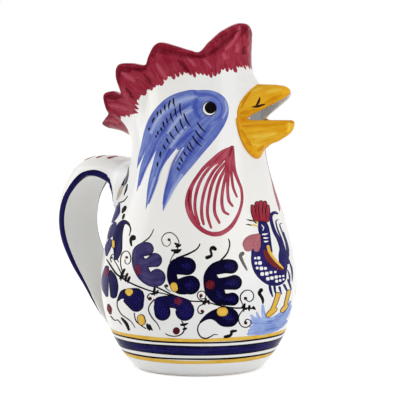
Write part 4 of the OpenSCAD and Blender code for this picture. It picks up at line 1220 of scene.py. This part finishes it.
# A paler, greyer cobalt: a painted reflection of a side lamp on the glaze over the first leaf.
cobalt_painted_sheen = brushed("cobalt_painted_sheen", (0.072, 0.060, 0.170, 1), (0.026, 0.020, 0.098, 1),
                      (0.014, 0.011, 0.07, 1), streaks=0.4, length=0.08, edge=0.6)
cobalt_thin = brushed("cobalt_thin", (0.036, 0.027, 0.155, 1), (0.015, 0.011, 0.088, 1),
                      (0.005, 0.004, 0.036, 1), streaks=0.6, length=0.1, edge=0.9)
red_paint = brushed("red_spot", (0.26, 0.022, 0.022, 1), (0.14, 0.007, 0.009, 1), (0.07, 0.004, 0.010, 1),
                    soft=0.5)
dot_paint = brushed("dark_red_dot", (0.12, 0.012, 0.016, 1), (0.05, 0.006, 0.009, 1),
                    (0.015, 0.004, 0.006, 1))
grey_paint = brushed("grey_liner", (0.20, 0.20, 0.19, 1), (0.055, 0.055, 0.055, 1), (0.02, 0.02, 0.02, 1),
                     streaks=1.0)
tan_paint = brushed("tan_wash", (0.62, 0.52, 0.40, 1), (0.50, 0.40, 0.30, 1), (0.20, 0.17, 0.16, 1),
                    edge=0.8)
on_left = seen_on(belly_wall, head, handle)


def leaf_films(leaves, layer, wider=0.0, dense=1):
    """Films of all the lobes of these leaves."""
    return [made for lobes in leaves for made in brush_strokes(lobes, layer, wider=wider, dense=dense)]


def scroll(name, films, material):
    """Paint of the scroll, which starts a little further round on the far side."""
    paint(name, films, material, far_turn=scroll_turn)


loose_marks = brush_strokes(loose_mark_px, wider=loose_wider)
scroll("scroll_stems", brush_strokes(stem_px + tendril_px) + loose_marks, black_paint)
paint("sprig_lines", brush_strokes(sprig_px[1:], place=on_left, dense=edge_dense), black_paint)
paint("sprig", brush_strokes(sprig_px[:1], 4, on_left, dense=edge_dense), cobalt_paint)
paint("sprig_tan", brush_strokes(sprig_tan_px, 6, on_left, dense=edge_dense), tan_paint)
scroll("scroll_ticks", ticks(tick_px, tick_half_px, 5), black_paint)
scroll("scroll_grey_mark", brush_strokes(grey_mark_px), grey_paint)
edge_outlines = leaf_films(edge_leaf_px, 4, leaf_line_px, edge_dense)
scroll("leaf_outlines", leaf_films(leaf_px, 4, leaf_line_px) + edge_outlines, black_paint)
# The first leaf is painted in that paler cobalt, as a painted reflection of a lamp on its glaze.
scroll("leaf_painted_sheen", brush_strokes(leaf_px[0], 6), cobalt_painted_sheen)
scroll("leaves", leaf_films(leaf_px[1:4], 6), cobalt_paint)
scroll("leaves_blue", leaf_films(leaf_px[4:], 6) + leaf_films(edge_leaf_px, 6, 0, edge_dense), cobalt_blue)
lobe_ends = [[(*before[:2], lobe_start_share * before[2]), (*last[:2], lobe_end_share * last[2])]
             for lobes in leaf_px[1:] for *_, before, last in lobes[1:] or lobes]
scroll("leaf_lobes", brush_strokes(lobe_ends, 8), cobalt_lobe)
scroll("leaves_thin", brush_strokes(thin_leaf_px, 4, dense=edge_dense), cobalt_thin)
scroll("spot_outlines", brush_strokes(yellow_spot_px, 14, wider=spot_line_px), black_paint)
scroll("spots_yellow", brush_strokes(yellow_spot_px, 16), yellow_paint)
scroll("spots_red", brush_strokes(red_spot_px, 16, wider=red_wider, dense=edge_dense), red_paint)
tendril_dots = brush_strokes([[mark] for mark in tendril_dots_px], 5)
scroll("tendril_dots", tendril_dots + brush_strokes(bud_px, 5, wider=bud_line_px), dot_paint)
scroll("scroll_bud", brush_strokes(bud_px, 8), red_paint)

# Cockerel on the breast, the one figure that isn't repeated on the far side: dark blue with a chequered
# breast, crimson crest, yellow legs, and a wash of pale blue for the ground.
ground_px = [
    [(248.6, 334, 1.6), (258, 331.6, 3.4), (269.5, 329.4, 3.8), (279.6, 325.4, 3.2), (286, 321, 1.6)],
    [(251, 327.4, 1.4), (259, 326.4, 3), (268, 323.4, 3.6), (278, 318, 3.4), (285.6, 311, 2.2),
     (290.4, 301.4, 0.9)],
    [(262.8, 305.4, 1.2), (263.2, 312, 1.9), (264.8, 319, 2.8), (267, 325, 3)],
    [(251.4, 315.6, 1.2), (254.4, 319.6, 2.6), (259.4, 324, 3.4), (266, 327.4, 2.4)],
    [(256.6, 312.4, 0.7), (258.6, 317.6, 2), (262.4, 323, 2.6)],
    [(275.6, 317, 1.6), (281.4, 315, 2.2), (287.6, 308.4, 1.6)],
    [(253, 322, 3), (262, 323, 5), (274, 322, 5.4), (284, 314.6, 4.4), (289.6, 306, 2)],
    [(250.4, 331.4, 2.6), (262, 330.4, 4.6), (275.6, 326.8, 4.2)]]
plume_px = [
    [(277.2, 213.6, 1), (274.4, 212.6, 1.6), (271.4, 214.6, 1.7), (271, 219.7, 1.6), (273.8, 230, 1.8),
     (278.6, 239.4, 2), (281.6, 248, 2.4), (281.8, 255.4, 3.4), (283, 262, 4.2)],
    [(278, 219.6, 0.4), (275.8, 221.4, 0.6), (277.4, 229, 0.7), (281, 238, 0.8), (283.8, 247, 1),
     (285.6, 256, 1.8), (287.6, 262, 2.4)],
    [(282, 223.4, 0.3), (279.6, 224.6, 0.5), (282, 232, 0.6), (285.4, 242, 0.6), (287, 251, 0.8),
     (287.6, 259, 1.2)]]
plume_thin_px = [
    [(283.4, 232, 0.4), (286.2, 241, 0.8), (288, 249, 1), (288.6, 256, 0.6)],
    [(287.6, 270, 0.4), (289.4, 276, 0.8), (289.6, 283, 0.4)],
    [(289, 261, 0.4), (291.4, 268, 0.9), (292.2, 275, 0.7), (292, 281, 0.3)]]
plume_turn = math.radians(26)
bird_bar_half, crest_gap_half, bird_beak_half, beak_tip_half = 0.8, 0.5, 0.8, 0.6
chequer_wider, chequer_corner = 0.2, 0.4
crest_line_px = leg_line_px = 0.6
bird_px = [
    [(261.6, 221, 3.6), (263.2, 227.4, 5.4), (264.8, 235, 5.4), (266, 243, 5.2), (266, 251, 6.4)],
    [(256.6, 252.4, 5.6), (258.8, 260.4, 8), (263.2, 269, 9.4), (271.6, 275.6, 10), (278.6, 277, 8),
     (282, 271.6, 4.8)],
    [(283, 257, 2.8), (283.4, 265, 4), (281.6, 272, 4.6)],
    [(269.4, 284, 1), (270.4, 290, 1.4), (272.4, 296.4, 0.6)],
    [(274.4, 287, 1.2), (275, 291, 1), (275.6, 294, 0.4)],
    [(279.4, 287.4, 1.2), (280.4, 291, 0.9), (281.4, 294, 0.4)],
    [(284, 285, 1.2), (286, 289, 1), (287.4, 292, 0.4)],
    [(288, 280, 1), (290, 285.6, 0.9), (291, 290, 0.4)]]
bird_white_px = [
    (255.1, 258.2, 0.9), (258.6, 258, 1.3), (255.8, 263.2, 1.1), (259.8, 263, 1.6), (257, 268, 1.1),
    (261.2, 268.4, 1.6), (265.2, 268.4, 1.2), (262, 274, 1.6), (266.5, 273.6, 1.6), (270.6, 272.4, 1.2),
    (275, 272, 0.9), (267.6, 278.8, 1.5), (271.6, 278, 1.5), (275.9, 277, 1.4), (279.6, 276.4, 0.9),
    (283, 276, 0.8), (276.4, 281.2, 1.2), (279.9, 280.4, 1), (283.2, 279.4, 0.7)]
bird_bar_px = [(262.4, 234.4, 267.6, 233.6), (263.8, 238, 268, 237.8), (264.4, 241.6, 268, 241.2)]
bird_eye_px = [[(261.4, 225, 0.3), (263.4, 227.6, 0.5), (262.6, 230.6, 0.3)]]
crest_px = [
    [(255.4, 218.4, 2.2), (253.6, 212, 2.4), (252.2, 206.2, 1.2)],
    [(258.2, 218.8, 2.4), (256.8, 210, 2.3), (256.8, 203.4, 1.7)],
    [(261.4, 219, 2.4), (260.7, 210, 2.2), (260.7, 202.6, 1.8)],
    [(264.6, 219.4, 2.4), (264.5, 210, 2.2), (264.7, 203, 1.7)],
    [(266.8, 220, 2), (267.6, 212, 1.9), (267.4, 206.4, 1.4)]]
crest_gap_px = [
    (256.2, 205, 256.4, 217), (258.8, 204, 260, 217), (262.7, 204, 263, 217), (266.2, 206, 265.8, 218)]
bird_wattle_px = [
    [(257.4, 236.4, 3), (252, 240, 5.6), (248.2, 244, 5.8), (248, 247, 4.6)],
    [(257.4, 240, 3), (256.6, 245, 4), (256.4, 249, 3)]]
wing_brown_px = [
    [(264.6, 251, 1.6), (267.4, 257, 3), (273.4, 263.4, 3), (279, 267.6, 2.2), (282.6, 269.4, 0.8)]]
wing_yellow_px = [
    [(267.8, 246.4, 1.4), (269.4, 252, 1.5), (273.8, 258.6, 1.3), (278.8, 264.2, 1.1), (283, 268.4, 0.5)]]
leg_px = [
    [(277.8, 294.6, 2.1), (275.8, 301.4, 1.9), (273.6, 307, 1.8), (272.4, 310, 2)],
    [(275.4, 309.2, 1.4), (271.6, 311.8, 2.5), (268.2, 315, 2)],
    [(288.6, 291.6, 1.6), (286.8, 299, 1.4), (285.6, 304.4, 1.4)],
    [(286.8, 305.6, 1.2), (284.2, 308.2, 1.9), (282, 310.8, 1.5)]]
bird_beak_px = [(257.6, 222.8, 250.2, 220.7), (257.4, 226.2, 249.8, 225)]
bird_beak_tip_px = [(251.4, 221.1, 246.3, 219.7), (251, 225.3, 245.8, 224.6), (256.2, 223.2, 250.8, 219.8)]
bird_blue = brushed("bird_blue", (0.029, 0.023, 0.170, 1), (0.006, 0.004, 0.060, 1),
                    (0.003, 0.002, 0.02, 1), streaks=0.9, length=0.1, edge=0.7)
ground_blue = brushed("ground_blue", (0.43, 0.53, 0.81, 1), (0.085, 0.155, 0.49, 1), (0.31, 0.42, 0.73, 1),
                      streaks=0.9, length=0.06, edge=0.8, crisp=2)
bird_pink = brushed("bird_pink", (0.48, 0.18, 0.20, 1), (0.36, 0.105, 0.125, 1), (0.27, 0.06, 0.08, 1),
                    streaks=0.6)
wing_brown = brushed("wing_brown", (0.20, 0.03, 0.03, 1), (0.12, 0.014, 0.016, 1), (0.06, 0.008, 0.012, 1))


def figure(name, films, material):
    """Paint of the cockerel, laid once."""
    paint(name, films, material, mirrored=False)


figure("bird_ground", brush_strokes(ground_px), ground_blue)
figure("bird_plumes", brush_strokes(plume_px, 2), bird_blue)
thin_plumes = brush_strokes(plume_thin_px, 1)
further_round = np.array(Matrix.Rotation(plume_turn, 3, "Z")).T
far_plumes = [(points @ further_round, marks) for points, marks in thin_plumes]
figure("bird_plumes_thin", thin_plumes + far_plumes, cobalt_thin)
figure("bird_body", brush_strokes(bird_px, 3), bird_blue)
chequers = brush_strokes([[mark] for mark in bird_white_px], 6, wider=chequer_wider, corner=chequer_corner)
neck_marks = ticks(bird_bar_px, bird_bar_half, 6) + brush_strokes(bird_eye_px, 6)
figure("bird_chequers", chequers + neck_marks, eye_white)
figure("bird_wattle", brush_strokes(bird_wattle_px, 6), bird_pink)
figure("bird_wing_brown", brush_strokes(wing_brown_px, 6), wing_brown)
figure("bird_wing_yellow", brush_strokes(wing_yellow_px, 8), yellow_paint)
figure("bird_crest_line", brush_strokes(crest_px, 4, wider=crest_line_px), black_paint)
figure("bird_crest", brush_strokes(crest_px, 6), comb_wash)
figure("bird_crest_gaps", ticks(crest_gap_px, crest_gap_half, 8), brown_paint)
figure("bird_leg_lines", brush_strokes(leg_px, 2, wider=leg_line_px), black_paint)
figure("bird_legs", brush_strokes(leg_px, 4), yellow_paint)
figure("bird_beak", ticks(bird_beak_px, bird_beak_half, 4), yellow_paint)
figure("bird_beak_tips", ticks(bird_beak_tip_px, beak_tip_half, 5), black_paint)

# Studio: a pale floor that takes the pitcher's soft shadow, white all round, two wide lamps from the
# sides and a weaker one from above.
floor_half = 4
floor_white, floor_rough = (0.92, 0.92, 0.92, 1), 0.9
left_lamp_at, right_lamp_at, top_lamp_at = (-1.2, -0.6, 0.6), (1.3, -0.1, 0.45), (0.1, 0.1, 1.5)
left_lamp_w, right_lamp_w, top_lamp_w, lamp_size = 7.4, 6.2, 0.8, 1.0
world_level = 0.67
floor_glow = 0.39


def seen_directly(tree):
    """1 for rays from the camera or off a shiny or clear surface, 0 for those that light the object."""
    rays = add_node(tree, "LightPath", {}).outputs
    seen = rays["Is Camera Ray"]
    for other in ("Is Glossy Ray", "Is Transmission Ray"):
        seen = add_node(tree, "Math", {0: seen, 1: rays[other]}, operation="MAXIMUM").outputs[0]
    return seen


studio_floor = bpy.data.meshes.new("studio_floor")
corners = [(-floor_half, -floor_half, 0), (floor_half, -floor_half, 0), (floor_half, floor_half, 0),
           (-floor_half, floor_half, 0)]
studio_floor.from_pydata(corners, [], [(0, 1, 2, 3)])
floor_paper = bpy.data.materials.new("floor_paper")
floor_paper.use_nodes = True
paper_tree = floor_paper.node_tree
paper_shader = paper_tree.nodes["Principled BSDF"]
paper_shader.inputs["Base Color"].default_value = floor_white
paper_shader.inputs["Roughness"].default_value = floor_rough
paper_shader.inputs["Emission Color"].default_value = (1, 1, 1, 1)
paper_seen = seen_directly(paper_tree)
seen_glow = add_node(paper_tree, "Math", {0: paper_seen, 1: floor_glow}, operation="MULTIPLY")
paper_tree.links.new(seen_glow.outputs[0], paper_shader.inputs["Emission Strength"])
studio_floor.materials.append(floor_paper)
floor_object = bpy.data.objects.new("studio_floor", studio_floor)
bpy.context.scene.collection.objects.link(floor_object)

world = bpy.data.worlds.new("studio")
world.use_nodes = True
bpy.context.scene.world = world
level = add_node(world.node_tree, "MapRange", {
    "Value": seen_directly(world.node_tree), "To Min": world_level, "To Max": 1})
backdrop = world.node_tree.nodes["Background"]
backdrop.inputs["Color"].default_value = (1, 1, 1, 1)
world.node_tree.links.new(level.outputs[0], backdrop.inputs["Strength"])
for name, where, power in (
        ("lamp_left", left_lamp_at, left_lamp_w),
        ("lamp_right", right_lamp_at, right_lamp_w),
        ("lamp_top", top_lamp_at, top_lamp_w)):
    lamp = bpy.data.lights.new(name, "AREA")
    lamp.energy, lamp.size = power, lamp_size
    holder = bpy.data.objects.new(name, lamp)
    bpy.context.scene.collection.objects.link(holder)
    holder.location = where
    holder.rotation_euler = (aim - holder.location).to_track_quat("-Z", "Y").to_euler()

bpy.context.scene.view_settings.view_transform = "Standard"
